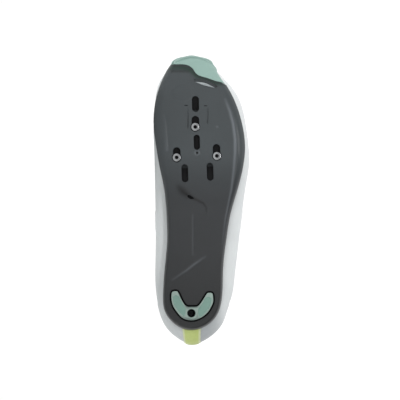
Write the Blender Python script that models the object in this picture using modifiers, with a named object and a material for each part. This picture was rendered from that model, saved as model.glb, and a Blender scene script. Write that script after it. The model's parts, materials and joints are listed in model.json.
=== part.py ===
"""Road cycling shoe for the left foot, lying empty on its medial side.

Everything is modelled upright in the shoe's own frame: x runs from the heel to the toe, y from the medial to
the lateral side, z up from the ground that the shoe would stand on. The last function lays the shoe down.
"""
import math

import bmesh
import bpy
import numpy as np
from mathutils import Matrix, Vector

# Sizes in metres
SOLE_LENGTH = 0.2725
BALL_WIDTH = 0.0898
HEEL_OVERHANG = 0.0150
UPPER_WIDTH = 0.0990
UPPER_HEIGHT = 0.0840
WIDEST_HEIGHT = 0.0340
WALL = 0.0020
GAP = 0.0003
SEAT_GAP = 0.0006

HEEL_STAND = 0.0040
ARCH_RISE = 0.0100
TOE_SPRING = 0.0155
RIDGE_INSET = 0.0085
EDGE_RISE = 0.0050
RIM_RISE = 0.0085
RIM_WIDTH = 0.0045
RIM_SLOPE = 0.0025
PLATE_THICKNESS = 0.0045
FEATHER_INSET = 0.0012

INSOLE_THICKNESS = 0.0035
TONGUE_THICKNESS = 0.0030
TONGUE_STANDS = 0.0220
TONGUE_FRONT = 0.0150
STRAP_THICKNESS = 0.0020
BUMPER_WALL = 0.0016
BUMPER_HEIGHT = 0.0150
HEEL_STRIP_WIDTH = 0.0174
HEEL_STRIP_THICKNESS = 0.0008

CLEAT_SPAN = 0.0398
CLEAT_TO_HEEL = 0.1863
CLEAT_OFFSET = 0.0037
CLEAT_TURN = math.radians(1.5)
SLOT_LENGTH = 0.0155
SLOT_WIDTH = 0.0070
SLOT_DEPTH = 0.0034
NUT_DIAMETER = 0.0080
NUT_BORE = 0.0034
NUT_SUNK = 0.0008
MARK_HOLE = 0.0046

PAD_WIDTH = 0.0415
PAD_LENGTH = 0.0290
PAD_TO_HEEL = 0.0246
PAD_SINK = 0.0015
PAD_MARGIN = 0.0014
PAD_EDGE = 0.0008
SCREW_HEAD = 0.0060
SCREW_HOLE = 0.0078
SCREW_SOCKET = 0.0030
SCREW_SUNK = 0.0014

TOE_VENT_LENGTH = 0.0220
ARCH_VENT_LENGTH = 0.0280
VENT_DEPTH = 0.0024

TONGUE_DIP = math.radians(30)
LARGEST_ROLL = math.radians(10)

STATIONS = 36
ACROSS = 6
LOWER_SHARE = 0.3
FULLNESS = 0.93

# Outline of the sole: where along the sole's length, and how far it reaches each way, as shares of the ball width
SOLE_OUTLINE = {
    "at":      (0, .007, .029, .073, .138, .247, .334, .421, .509, .596, .672, .727, .792, .857, .901, .945, .969, .989, .9967, 1),
    "medial":  (.022, .130, .230, .318, .332, .308, .288, .296, .320, .372, .410, .432, .432, .398, .354, .292, .246, .196, .118, .025),
    "lateral": (-.022, .088, .198, .286, .320, .332, .364, .408, .486, .551, .570, .551, .501, .419, .342, .265, .218, .148, .062, -.025),
}

# Underside along the sole: shares of the heel stand, of the arch rise and of the toe spring
SOLE_PROFILE = {
    "at":   (0, .05, .17, .26, .36, .44, .51, .56, .60, .625, .715, .76, .83, .90, .96, 1),
    "heel": (1, 1, 1, .90, .70, .45, .20, .08, .02, 0, 0, 0, 0, 0, 0, 0),
    "arch": (0, 0, .02, .25, .60, .68, .48, .22, .05, 0, 0, 0, 0, 0, 0, 0),
    "toe":  (0, 0, 0, 0, 0, 0, 0, 0, 0, 0, 0, .06, .26, .55, .83, 1),
}

# How far the edge of the flat underside lies inside the outline, as shares of the ridge inset
RIDGE = {
    "at":      (0, .10, .30, .45, .60, .66, .85, .94, 1),
    "medial":  (.35, .35, .35, .45, .80, .90, .90, .60, .35),
    "lateral": (.35, .35, .35, .50, .70, 1, 1, .60, .35),
}

# Widest line of the upper: along the shoe's length, shares of the upper's width, and height as shares of the
# widest height
UPPER_OUTLINE = {
    "at":      (0, .017, .038, .079, .121, .183, .224, .307, .362, .500, .569, .638, .690, .742, .811, .845, .880, .928, .970, .993, 1),
    "medial":  (.020, .145, .225, .310, .350, .380, .387, .385, .383, .390, .395, .401, .406, .408, .405, .395, .380, .325, .215, .095, .025),
    "lateral": (-.020, .125, .207, .297, .340, .397, .413, .440, .458, .505, .535, .562, .554, .535, .500, .470, .418, .297, .175, .055, -.025),
    "height":  (.92, .91, .88, .78, .68, .60, .58, .58, .61, .76, .90, 1.01, 1.05, 1.05, 1.02, .98, .95, .92, .89, .86, .86),
}

# Top line, round the collar and then down both sides of the throat: the station it belongs to, its place along
# the shoe's length, the shift of its middle and its half width as shares of the upper's width, its height as
# shares of the upper's height, and the slope of the wall there in degrees
TOP_LINE = {
    "at":      (0, .02, .06, .12, .20, .28, .36, .43, .50, .56, .63, .70, .78, .86, .93, .97, 1),
    "along":   (.026, .032, .058, .110, .190, .270, .342, .392, .432, .462, .503, .545, .590, .630, .657, .668, .674),
    "middle":  (0, 0, 0, .01, .02, .03, .035, .04, .04, .04, .045, .045, .045, .045, .045, .045, .045),
    "half":    (0, .120, .222, .288, .318, .318, .296, .262, .226, .205, .187, .170, .152, .128, .095, .060, 0),
    "height":  (.93, .925, .89, .81, .73, .735, .83, .945, .985, .96, .90, .83, .76, .70, .66, .645, .64),
    "slope":   (88, 88, 86, 84, 80, 76, 66, 56, 48, 44, 40, 37, 33, 28, 23, 20, 18),
}

# Plate slots from the middle of the cleat's rear bolts: along and across as shares of the cleat span, length and
# width as shares of the slot's length and width
SLOTS = {
    "front":        (1.309, -.058, 1.02, .99),
    "front_nut":    (.824, -.036, .96, 1.06),
    "centre":       (.357, -.009, .96, .87),
    "medial_nut":   (.057, -.494, .97, 1.06),
    "lateral_nut":  (.111, .494, .97, 1.06),
    "medial_rear":  (-.402, -.289, 1.15, .92),
    "lateral_rear": (-.382, .341, 1.15, .95),
}
NUTS = {"front": (.739, -.018), "medial": (-.005, -.5), "lateral": (.005, .5)}
MARK_HOLE_AT = (.096, .006)

# Heel pad outline from its rear edge: along as shares of the pad's length, across as shares of its width
PAD_OUTLINE = (
    (0, -.02), (.05, -.20), (.22, -.37), (.47, -.49), (.74, -.50), (.96, -.45), (1.0, -.38), (.90, -.32),
    (.68, -.245), (.51, -.17), (.485, -.03), (.50, .09), (.66, .18), (.86, .25), (.96, .31), (.97, .39),
    (.86, .46), (.66, .485), (.42, .45), (.20, .34), (.05, .17),
)
PAD_SCREW_AT = (.252, -.038)

# Edge between the plate and the toe bumper, from the medial to the lateral side: back from the toe tip and
# across, as shares of the ball width
TOE_SEAM = (
    (.110, -.420), (.108, -.260), (.107, -.130), (.118, -.060), (.152, -.010), (.208, .030), (.236, .075),
    (.262, .160), (.292, .245), (.308, .315), (.338, .378), (.360, .520),
)

# Vents: outlines as shares of their lengths, along from the toe tip or from the cleat, and across
TOE_VENT = (
    (-1.27, .02), (-1.22, .20), (-1.27, .45), (-1.35, .72), (-1.44, 1.02), (-1.58, .98), (-1.55, .70), (-1.48, .42),
    (-1.40, .16),
)
ARCH_VENT = (
    (-1.10, -.66), (-1.02, -.56), (-1.18, -.36), (-1.36, -.12), (-1.52, .10), (-1.66, .34), (-1.98, .36),
    (-1.98, .27), (-1.74, .22), (-1.60, .06), (-1.50, -.14), (-1.42, -.36), (-1.30, -.60),
)

SHOE_LENGTH = HEEL_OVERHANG + SOLE_LENGTH


def turn_of(at):
    """Angle round the outline for a share of its length, 0 at the heel and a half turn at the toe."""
    return np.arccos(1 - 2 * np.clip(at, 0, 1))


def share_of(turn):
    """Share of the length for an angle round the outline."""
    return (1 - np.cos(turn)) / 2


def closed_spline(knots, values):
    """Cubic spline round a full turn, as a function of the angle."""
    x = np.append(knots, knots[0] + 2 * math.pi)
    y = np.append(values, values[0])
    h = np.diff(x)
    n = len(knots)
    system = np.zeros((n, n))
    right = np.zeros(n)
    for i in range(n):
        before = h[i - 1]
        system[i, i - 1] += before / 6
        system[i, i] += (before + h[i]) / 3
        system[i, (i + 1) % n] += h[i] / 6
        right[i] = (y[i + 1] - y[i]) / h[i] - (y[i] - y[i - 1 if i else n - 1]) / before
    bend = np.linalg.solve(system, right)
    bend = np.append(bend, bend[0])

    def value(turn):
        t = np.mod(np.asarray(turn, float), 2 * math.pi)
        i = np.clip(np.searchsorted(x, t, side="right") - 1, 0, n - 1)
        a = (x[i + 1] - t) / h[i]
        b = 1 - a
        return a * y[i] + b * y[i + 1] + ((a ** 3 - a) * bend[i] + (b ** 3 - b) * bend[i + 1]) * h[i] ** 2 / 6

    return value


def steps_between(x, xs, ys):
    """Smooth curve through points that never overshoots, so that level stretches stay level."""
    xs = np.asarray(xs, float)
    ys = np.asarray(ys, float)
    h = np.diff(xs)
    rate = np.diff(ys) / h
    same = rate[1:] * rate[:-1] > 0
    inner = np.where(same, 2 * rate[1:] * rate[:-1] / np.where(same, rate[1:] + rate[:-1], 1), 0)
    slope = np.concatenate(([rate[0]], inner, [rate[-1]]))
    x = np.clip(x, xs[0], xs[-1])
    i = np.clip(np.searchsorted(xs, x, side="right") - 1, 0, len(h) - 1)
    s = (x - xs[i]) / h[i]
    return (ys[i] * (1 + 2 * s) * (1 - s) ** 2 + ys[i + 1] * s * s * (3 - 2 * s)
            + h[i] * (slope[i] * s * (1 - s) ** 2 - slope[i + 1] * s * s * (1 - s)))


def round_table(table, medial, lateral):
    """Spline round the shoe through one column on the lateral side and one on the medial side."""
    turns = turn_of(np.array(table["at"], float))
    lateral = np.array(lateral, float)
    medial = np.array(medial, float)
    knots = np.concatenate((turns, 2 * math.pi - turns[-2:0:-1]))
    return closed_spline(knots, np.concatenate((lateral, medial[-2:0:-1])))


SOLE_REACH = round_table(SOLE_OUTLINE, [-m for m in SOLE_OUTLINE["medial"]], SOLE_OUTLINE["lateral"])
UPPER_REACH = round_table(UPPER_OUTLINE, [-m for m in UPPER_OUTLINE["medial"]], UPPER_OUTLINE["lateral"])
WIDEST = round_table(UPPER_OUTLINE, UPPER_OUTLINE["height"], UPPER_OUTLINE["height"])
TOP_ALONG = round_table(TOP_LINE, TOP_LINE["along"], TOP_LINE["along"])
TOP_MIDDLE = round_table(TOP_LINE, TOP_LINE["middle"], TOP_LINE["middle"])
TOP_HALF = round_table(TOP_LINE, [-h for h in TOP_LINE["half"]], TOP_LINE["half"])
TOP_HEIGHT = round_table(TOP_LINE, TOP_LINE["height"], TOP_LINE["height"])
TOP_SLOPE = round_table(TOP_LINE, TOP_LINE["slope"], TOP_LINE["slope"])


def underside(along):
    """Height of the sole's underside at a distance from the shoe's heel end."""
    at = (np.asarray(along) - HEEL_OVERHANG) / SOLE_LENGTH
    return (HEEL_STAND * steps_between(at, SOLE_PROFILE["at"], SOLE_PROFILE["heel"])
            + ARCH_RISE * steps_between(at, SOLE_PROFILE["at"], SOLE_PROFILE["arch"])
            + TOE_SPRING * steps_between(at, SOLE_PROFILE["at"], SOLE_PROFILE["toe"]))


def sole_line(turn, inset, lift):
    """Line round the sole, moved in towards the middle of the foot and up from the underside."""
    turn = np.asarray(turn, float)
    along = HEEL_OVERHANG + SOLE_LENGTH * share_of(turn)
    across = BALL_WIDTH * SOLE_REACH(turn)
    other = BALL_WIDTH * SOLE_REACH(-turn)
    heel_centre = HEEL_OVERHANG + 0.3 * BALL_WIDTH
    toe_centre = SHOE_LENGTH - 0.4 * BALL_WIDTH
    to_middle = np.stack((np.clip(along, heel_centre, toe_centre) - along, (other - across) / 2), -1)
    to_middle /= np.linalg.norm(to_middle, axis=-1, keepdims=True)
    along = along + to_middle[..., 0] * inset
    across = across + to_middle[..., 1] * inset
    return np.stack((along, across, underside(along) + lift), -1)


def toe_share(turn):
    """1 at the toe, where the bumper covers the upper, falling to 0 beside the ball."""
    return steps_between(share_of(turn), (0, .84, .95, 1), (0, 0, 1, 1))


def upper_point(turn, rise):
    """Outer face of the upper: rise 0 is the feather line on the sole, 1 the collar or throat edge."""
    turn, rise = np.broadcast_arrays(np.asarray(turn, float), np.asarray(rise, float))
    feather = sole_line(turn, FEATHER_INSET + (BUMPER_WALL + GAP) * toe_share(turn), RIM_RISE + SEAT_GAP)
    share = share_of(turn)
    wide_along = (SHOE_LENGTH - BUMPER_WALL - GAP) * share
    toe_lift = TOE_SPRING * steps_between(share, (0, .72, 1), (0, 0, .42))
    wide = np.stack((wide_along, UPPER_WIDTH * UPPER_REACH(turn), WIDEST_HEIGHT * WIDEST(turn) + toe_lift), -1)
    top = np.stack((SHOE_LENGTH * TOP_ALONG(turn), UPPER_WIDTH * (TOP_MIDDLE(turn) + TOP_HALF(turn)),
                    UPPER_HEIGHT * TOP_HEIGHT(turn)), -1)
    # Below the widest line: out and up from the feather line, turning upright as it gets there
    low = np.clip(rise / LOWER_SHARE, 0, 1)[..., None]
    out = 1 - (1 - low) ** 1.6
    lift = 0.5 * low + 0.5 * low ** 2
    lower = feather + (wide - feather) * np.concatenate((out, out, lift), -1)
    # Above it: from straight up at the widest line to the wall's own slope at the top line
    s = np.clip((rise - LOWER_SHARE) / (1 - LOWER_SHARE), 0, 1)[..., None]
    span = top - wide
    reach = np.linalg.norm(span, axis=-1, keepdims=True)
    flat = np.linalg.norm(span[..., :2], axis=-1, keepdims=True)
    slope = np.radians(TOP_SLOPE(turn))[..., None]
    end = np.concatenate((span[..., :2] / flat * np.cos(slope), np.sin(slope)), -1)
    start = np.zeros_like(end)
    start[..., 2] = 1
    upper = (wide * (1 + 2 * s) * (1 - s) ** 2 + top * s * s * (3 - 2 * s)
             + reach * (FULLNESS * start * s * (1 - s) ** 2 - end * s * s * (1 - s)))
    return np.where(rise[..., None] < LOWER_SHARE, lower, upper)


def upper_offset(turn, rise, distance):
    """Point off the upper's outer face, outwards for a positive distance."""
    step = 1e-4
    low = np.clip(np.asarray(rise, float) - step, 0, 1)
    high = np.clip(np.asarray(rise, float) + step, 0, 1)
    here = upper_point(turn, rise)
    round_way = upper_point(turn + step, rise) - upper_point(turn - step, rise)
    up_way = upper_point(turn, high) - upper_point(turn, low)
    normal = np.cross(up_way, round_way)
    normal /= np.linalg.norm(normal, axis=-1, keepdims=True)
    return here + normal * distance


def collection(name):
    """New collection in the scene."""
    made = bpy.data.collections.new(name)
    bpy.context.scene.collection.children.link(made)
    return made


def material(name, colour, roughness, metallic=0.0):
    """Principled material of one colour, given in linear light."""
    made = bpy.data.materials.new(name)
    made.use_nodes = True
    shader = made.node_tree.nodes["Principled BSDF"]
    shader.inputs["Base Color"].default_value = (*colour, 1)
    shader.inputs["Roughness"].default_value = roughness
    shader.inputs["Metallic"].default_value = metallic
    return made


def add_object(name, mesh, home, finish=None):
    """Object in a collection, smooth but for its sharp edges."""
    made = bpy.data.objects.new(name, mesh)
    home.objects.link(made)
    if finish:
        mesh.materials.append(finish)
        mesh.shade_smooth()
        mesh.set_sharp_from_angle(angle=math.radians(35))
    else:
        made.hide_render = True
        made.display_type = "WIRE"
    return made


def mesh_from(name, points, faces):
    """Mesh with its doubles merged, its flat faces dropped and its faces pointing out."""
    mesh = bpy.data.meshes.new(name)
    mesh.from_pydata([tuple(p) for p in points], [], faces)
    shape = bmesh.new()
    shape.from_mesh(mesh)
    bmesh.ops.remove_doubles(shape, verts=shape.verts, dist=1e-6)
    bmesh.ops.dissolve_degenerate(shape, edges=shape.edges, dist=1e-6)
    bmesh.ops.recalc_face_normals(shape, faces=shape.faces)
    if shape.calc_volume(signed=True) < 0:
        bmesh.ops.reverse_faces(shape, faces=shape.faces)
    shape.to_mesh(mesh)
    shape.free()
    return mesh


def grid_faces(rows, columns, first=0, closed=False):
    """Quads of a grid of points stored row by row, facing rows x columns; closed joins the last column on."""
    faces = []
    for r in range(rows - 1):
        for c in range(columns if closed else columns - 1):
            a = first + r * columns + c
            b = first + r * columns + (c + 1) % columns
            faces.append((a, a + columns, b + columns, b))
    return faces


def sheet_object(name, points, home, finish, thickness, outwards):
    """Wall of even thickness on one side of a grid of points (rows, columns, 3)."""
    rows, columns = points.shape[:2]
    mesh = bpy.data.meshes.new(name)
    mesh.from_pydata([tuple(p) for p in points.reshape(-1, 3)], [], grid_faces(rows, columns))
    made = add_object(name, mesh, home, finish)
    wall = made.modifiers.new("wall", "SOLIDIFY")
    wall.thickness = thickness
    wall.offset = 1 if outwards else -1
    wall.use_even_offset = True
    return made


def outline_solid(name, points, low, high, home, finish=None):
    """Upright solid between two heights from an outline of (along, across) points."""
    curve = bpy.data.curves.new(name + "_outline", "CURVE")
    curve.dimensions = "2D"
    curve.fill_mode = "BOTH"
    curve.extrude = (high - low) / 2
    line = curve.splines.new("POLY")
    line.points.add(len(points) - 1)
    for point, (along, across) in zip(line.points, points):
        point.co = (along, across, 0, 1)
    line.use_cyclic_u = True
    guide = bpy.data.objects.new(name + "_outline", curve)
    guide.location.z = (low + high) / 2
    home.objects.link(guide)
    bpy.context.view_layer.update()
    drawn = guide.evaluated_get(bpy.context.evaluated_depsgraph_get())
    mesh = bpy.data.meshes.new_from_object(drawn)
    mesh.name = name
    shape = bmesh.new()
    shape.from_mesh(mesh)
    bmesh.ops.remove_doubles(shape, verts=shape.verts, dist=1e-6)
    bmesh.ops.recalc_face_normals(shape, faces=shape.faces)
    shape.to_mesh(mesh)
    shape.free()
    made = add_object(name, mesh, home, finish)
    made.matrix_world = guide.matrix_world
    bpy.data.objects.remove(guide)
    bpy.data.curves.remove(curve)
    return made


def combine(target, other, operation):
    """Boolean of one object on another."""
    step = target.modifiers.new(other.name, "BOOLEAN")
    step.operation = operation
    step.object = other
    step.solver = "EXACT"


def smooth_loop(points, steps):
    """Closed curve through its points, a few steps on each stretch."""
    points = np.array(points, float)
    before, after, next_after = (np.roll(points, k, axis=0) for k in (1, -1, -2))
    s = (np.arange(steps) / steps)[None, :, None]
    p, a, b, c = (q[:, None, :] for q in (before, points, after, next_after))
    curve = 0.5 * (2 * a + (b - p) * s + (2 * p - 5 * a + 4 * b - c) * s ** 2 + (3 * a - p - 3 * b + c) * s ** 3)
    return curve.reshape(-1, 2)


def grown(loop, margin):
    """Closed outline moved outwards all round."""
    ahead = np.roll(loop, -1, axis=0) - np.roll(loop, 1, axis=0)
    area = np.sum(loop[:, 0] * np.roll(loop[:, 1], -1) - np.roll(loop[:, 0], -1) * loop[:, 1])
    side = np.stack((ahead[:, 1], -ahead[:, 0]), -1) * (1 if area > 0 else -1)
    return loop + side / np.linalg.norm(side, axis=1, keepdims=True) * margin


def stadium(length, width, steps=7):
    """Outline of a slot with round ends, along the first axis."""
    radius = width / 2
    angles = np.linspace(-math.pi / 2, math.pi / 2, steps)
    end = np.stack((np.cos(angles), np.sin(angles)), -1) * radius + ((length - width) / 2, 0)
    return np.concatenate((end, -end))


def disc(diameter, place, steps=16):
    """Outline of a round hole about a place."""
    angles = np.arange(steps) * 2 * math.pi / steps
    return np.stack((np.cos(angles), np.sin(angles)), -1) * diameter / 2 + place


def on_cleat(along, across):
    """Place on the sole from a place on the cleat's bolt pattern, given in cleat spans."""
    x = along * math.cos(CLEAT_TURN) + across * math.sin(CLEAT_TURN)
    y = across * math.cos(CLEAT_TURN) - along * math.sin(CLEAT_TURN)
    return CLEAT_TO_HEEL + x * CLEAT_SPAN, CLEAT_OFFSET + y * CLEAT_SPAN


def sole_body(name):
    """Whole sole, plate and toe in one: a cup with a flat underside, a bevelled side and a rim."""
    turns = np.linspace(0, 2 * math.pi, 2 * STATIONS, endpoint=False)
    lateral = steps_between(share_of(turns), RIDGE["at"], RIDGE["lateral"])
    medial = steps_between(share_of(turns), RIDGE["at"], RIDGE["medial"])
    ridge = RIDGE_INSET * np.where(turns <= math.pi, lateral, medial)
    floor_inset = RIM_WIDTH + RIM_SLOPE
    rings = (
        (ridge, 0), (0.32 * ridge, 0.42 * EDGE_RISE), (0, EDGE_RISE), (0.0006, RIM_RISE),
        (RIM_WIDTH, RIM_RISE), (floor_inset, PLATE_THICKNESS),
    )
    points = np.concatenate([sole_line(turns, inset, lift) for inset, lift in rings])
    faces = grid_faces(len(rings), 2 * STATIONS, closed=True)
    for ring, lift in ((0, 0), (len(rings) - 1, PLATE_THICKNESS)):
        loop = points[ring * 2 * STATIONS:(ring + 1) * 2 * STATIONS]
        first = len(points)
        lateral_side = loop[:STATIONS + 1]
        medial_side = np.concatenate((loop[:1], loop[:STATIONS - 1:-1]))
        share = np.linspace(0, 1, ACROSS + 1)[None, :, None]
        fill = lateral_side[:, None, :] * (1 - share) + medial_side[:, None, :] * share
        fill[..., 2] = underside(fill[..., 0]) + lift
        points = np.concatenate((points, fill.reshape(-1, 3)))
        faces += grid_faces(STATIONS + 1, ACROSS + 1, first)
    return mesh_from(name, points, faces)


def toe_region(name, shift, cutters):
    """Everything ahead of the seam between the plate and the bumper."""
    seam = [(SHOE_LENGTH - back * BALL_WIDTH + shift, across * BALL_WIDTH) for back, across in TOE_SEAM]
    beyond = SHOE_LENGTH + 0.2 * BALL_WIDTH
    outline = seam + [(beyond, seam[-1][1]), (beyond, seam[0][1])]
    return outline_solid(name, outline, -0.01, UPPER_HEIGHT, cutters)


def build_sole_plate(home, cutters, finish):
    """Stiff plate under the whole foot, with the cleat slots, the vents and the seat of the heel pad."""
    plate = add_object("sole_plate", sole_body("sole_plate"), home, finish)
    combine(plate, toe_region("cut_toe", -GAP / 2, cutters), "DIFFERENCE")
    below = -0.01
    for slot, (along, across, length, width) in SLOTS.items():
        x, y = on_cleat(along, across)
        shape = stadium(SLOT_LENGTH * length, SLOT_WIDTH * width)
        loop = [(x + a * math.cos(CLEAT_TURN) + b * math.sin(CLEAT_TURN),
                 y + b * math.cos(CLEAT_TURN) - a * math.sin(CLEAT_TURN)) for a, b in shape]
        floor = float(underside(x)) + SLOT_DEPTH
        combine(plate, outline_solid("cut_slot_" + slot, loop, below, floor, cutters), "DIFFERENCE")
    for nut, (along, across) in NUTS.items():
        x, y = on_cleat(along, across)
        seat = disc(NUT_DIAMETER + 3 * GAP, (x, y), 24)
        floor = float(underside(x)) + SLOT_DEPTH - GAP / 2
        combine(plate, outline_solid("cut_nut_" + nut, seat, below, floor, cutters), "DIFFERENCE")
    x, y = on_cleat(*MARK_HOLE_AT)
    hole = disc(MARK_HOLE, (x, y))
    combine(plate, outline_solid("cut_mark_hole", hole, below, float(underside(x)) + MARK_HOLE / 4, cutters),
            "DIFFERENCE")
    seat = grown(pad_loop(), PAD_MARGIN)
    combine(plate, outline_solid("cut_pad_seat", seat, below, HEEL_STAND + PAD_SINK, cutters), "DIFFERENCE")
    toe_vent = [(SHOE_LENGTH + along * TOE_VENT_LENGTH, across * TOE_VENT_LENGTH) for along, across in TOE_VENT]
    toe_vent = smooth_loop(toe_vent, 3)
    roof = float(underside(toe_vent[:, 0].mean())) + VENT_DEPTH
    combine(plate, outline_solid("cut_toe_vent", toe_vent, below, roof, cutters), "DIFFERENCE")
    arch_vent = [(CLEAT_TO_HEEL + along * ARCH_VENT_LENGTH, CLEAT_OFFSET + across * ARCH_VENT_LENGTH)
                 for along, across in ARCH_VENT]
    arch_vent = smooth_loop(arch_vent, 2)
    roof = float(underside(arch_vent[:, 0].mean())) + VENT_DEPTH
    combine(plate, outline_solid("cut_arch_vent", arch_vent, below, roof, cutters), "DIFFERENCE")
    return plate


def pad_loop():
    """Outline of the heel pad, two arms reaching forward from a base with a screw."""
    middle = BALL_WIDTH * SOLE_OUTLINE["lateral"][0] / 2
    loop = [(PAD_TO_HEEL + along * PAD_LENGTH, middle + across * PAD_WIDTH) for along, across in PAD_OUTLINE]
    return smooth_loop(loop, 2)


def pad_screw_place():
    """Place of the heel pad's screw."""
    middle = BALL_WIDTH * SOLE_OUTLINE["lateral"][0] / 2
    return PAD_TO_HEEL + PAD_SCREW_AT[0] * PAD_LENGTH, middle + PAD_SCREW_AT[1] * PAD_WIDTH


def build_heel_pad(home, cutters, finish):
    """Rubber tread of the heel in its recess, with the countersunk hole of its screw."""
    top = HEEL_STAND + PAD_SINK - GAP
    pad = outline_solid("heel_pad", pad_loop(), 0, top, home, finish)
    edge = pad.modifiers.new("edge", "BEVEL")
    edge.width = PAD_EDGE
    edge.segments = 2
    edge.limit_method = "ANGLE"
    edge.angle_limit = math.radians(60)
    x, y = pad_screw_place()
    hole = disc(SCREW_HOLE, (x, y), 20)
    combine(pad, outline_solid("cut_screw_hole", hole, -0.01, top + 0.01, cutters), "DIFFERENCE")
    return pad


def turned(name, profile, home, finish, place, steps=24):
    """Body turned round an upright axis from its (radius, height) profile, top to bottom on its outer side."""
    mesh = bpy.data.meshes.new(name)
    count = len(profile)
    closed = profile[0][0] > 0
    edges = [(i, i + 1) for i in range(count - 1)] + ([(count - 1, 0)] if closed else [])
    mesh.from_pydata([(r, 0, z) for r, z in profile], edges, [])
    made = add_object(name, mesh, home, finish)
    made.location = place
    spin = made.modifiers.new("turn", "SCREW")
    spin.steps = steps
    spin.render_steps = steps
    spin.use_merge_vertices = True
    spin.merge_threshold = 1e-6
    spin.use_smooth_shade = True
    return made


def build_cleat_nuts(home, finish):
    """Threaded nuts that the cleat's bolts go into, one in each of three slots."""
    outer = NUT_DIAMETER / 2
    inner = NUT_BORE / 2
    thickness = SLOT_DEPTH - NUT_SUNK - GAP - GAP / 2
    chamfer = NUT_SUNK / 2
    for nut, (along, across) in NUTS.items():
        x, y = on_cleat(along, across)
        base = float(underside(x)) + NUT_SUNK
        profile = ((inner, thickness), (outer, thickness), (outer, chamfer), (outer - chamfer, 0),
                   (inner + chamfer, 0), (inner, chamfer))
        turned("cleat_nut_" + nut, profile, home, finish, (x, y, base))


def build_pad_screw(home, cutters, finish):
    """Screw of the heel pad, with a hexagon socket, its head sunk in the pad."""
    x, y = pad_screw_place()
    height = HEEL_STAND + PAD_SINK - GAP - SCREW_SUNK
    radius = SCREW_HEAD / 2
    profile = ((0, height), (radius, height), (radius, height / 3), (radius * 0.8, 0), (0, 0))
    screw = turned("heel_pad_screw", profile, home, finish, (x, y, SCREW_SUNK))
    socket = outline_solid("cut_socket", disc(SCREW_SOCKET, (x, y), 6), -0.01, SCREW_SUNK + height / 2, cutters)
    combine(screw, socket, "DIFFERENCE")


def build_toe_bumper(home, cutters, finish):
    """Toe of the sole, moulded with the wall that wraps up over the front of the upper."""
    bumper = add_object("toe_bumper", sole_body("toe_bumper"), home, finish)
    turns = upper_grid()[0]
    turns = turns[(turns > turn_of(.900)) & (turns < 2 * math.pi - turn_of(.966))]
    taper = np.sin(np.linspace(0.12, 0.88, len(turns)) * math.pi) ** 0.6
    feather = upper_point(turns, 0)
    reach = upper_point(turns, LOWER_SHARE)[:, 2] - feather[:, 2]
    high = np.clip(taper * BUMPER_HEIGHT / reach * LOWER_SHARE, 0.1, 0.55)
    rises = np.linspace(0.04, 1, 6)[:, None] * high[None, :]
    near = upper_offset(turns[None, :] + 0 * rises, rises, SEAT_GAP)
    far = upper_offset(turns[None, :] + 0 * rises, rises, SEAT_GAP + BUMPER_WALL)
    # The wall's foot goes down into the sole, which it is one piece with
    foot = feather[:, 2] - RIM_RISE / 3
    near = np.concatenate((near[:1], near))
    far = np.concatenate((far[:1], far))
    near[0, :, 2] = foot
    far[0, :, 2] = foot
    rows, columns = near.shape[:2]
    points = np.concatenate((near.reshape(-1, 3), far.reshape(-1, 3)))
    size = rows * columns
    faces = grid_faces(rows, columns) + grid_faces(rows, columns, size)
    for row in (0, rows - 1):
        for c in range(columns - 1):
            a = row * columns + c
            faces.append((a, a + 1, size + a + 1, size + a))
    for column in (0, columns - 1):
        for r in range(rows - 1):
            a = r * columns + column
            faces.append((a, a + columns, size + a + columns, size + a))
    wall = add_object("join_bumper_wall", mesh_from("join_bumper_wall", points, faces), cutters)
    combine(bumper, wall, "UNION")
    combine(bumper, toe_region("keep_toe", GAP / 2, cutters), "INTERSECT")


def upper_grid():
    """Angles and rises of the upper's own grid, which the pieces on it share."""
    turns = np.linspace(0, 2 * math.pi, 2 * STATIONS, endpoint=False)
    rises = np.concatenate((np.linspace(0, LOWER_SHARE, 4), np.linspace(LOWER_SHARE, 1, 9)[1:]))
    return turns, rises


def build_upper(home, finish):
    """Hollow upper, open at the collar and throat and underneath, where the sole closes it."""
    turns, rises = upper_grid()
    points = upper_point(turns[None, :], rises[:, None])
    rows, columns = points.shape[:2]
    mesh = bpy.data.meshes.new("upper")
    mesh.from_pydata([tuple(p) for p in points.reshape(-1, 3)], [], grid_faces(rows, columns, closed=True))
    upper = add_object("upper", mesh, home, finish)
    wall = upper.modifiers.new("wall", "SOLIDIFY")
    wall.thickness = WALL
    wall.offset = -1
    wall.use_even_offset = True


def build_insole(home, finish):
    """Footbed lying in the cup of the sole."""
    turns = np.linspace(0, 2 * math.pi, 2 * STATIONS, endpoint=False)
    gentle = RIM_SLOPE / (RIM_RISE - PLATE_THICKNESS)
    base = RIM_WIDTH + RIM_SLOPE + GAP
    top = base - INSOLE_THICKNESS * gentle
    lift = PLATE_THICKNESS + GAP
    rings = [sole_line(turns, base, lift), sole_line(turns, top + GAP, lift + INSOLE_THICKNESS)]
    points = np.concatenate(rings)
    faces = grid_faces(2, 2 * STATIONS, closed=True)
    for ring, height in ((0, lift), (1, lift + INSOLE_THICKNESS)):
        loop = rings[ring]
        first = len(points)
        medial_side = np.concatenate((loop[:1], loop[:STATIONS - 1:-1]))
        share = np.linspace(0, 1, 3)[None, :, None]
        fill = loop[:STATIONS + 1][:, None, :] * (1 - share) + medial_side[:, None, :] * share
        fill[..., 2] = underside(fill[..., 0]) + height
        points = np.concatenate((points, fill.reshape(-1, 3)))
        faces += grid_faces(STATIONS + 1, 3, first)
    add_object("insole", mesh_from("insole", points, faces), home, finish)


def bridge(start, end, start_way, end_way, fullness, steps):
    """Arched rows from one edge to the other, leaving and arriving along the given directions."""
    span = np.linalg.norm(end - start, axis=-1, keepdims=True) * fullness
    s = np.linspace(0, 1, steps + 2)[1:-1, None, None]
    return (start * (1 + 2 * s) * (1 - s) ** 2 + end * s * s * (3 - 2 * s)
            + span * (start_way * s * (1 - s) ** 2 - end_way * s * s * (1 - s)))


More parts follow.
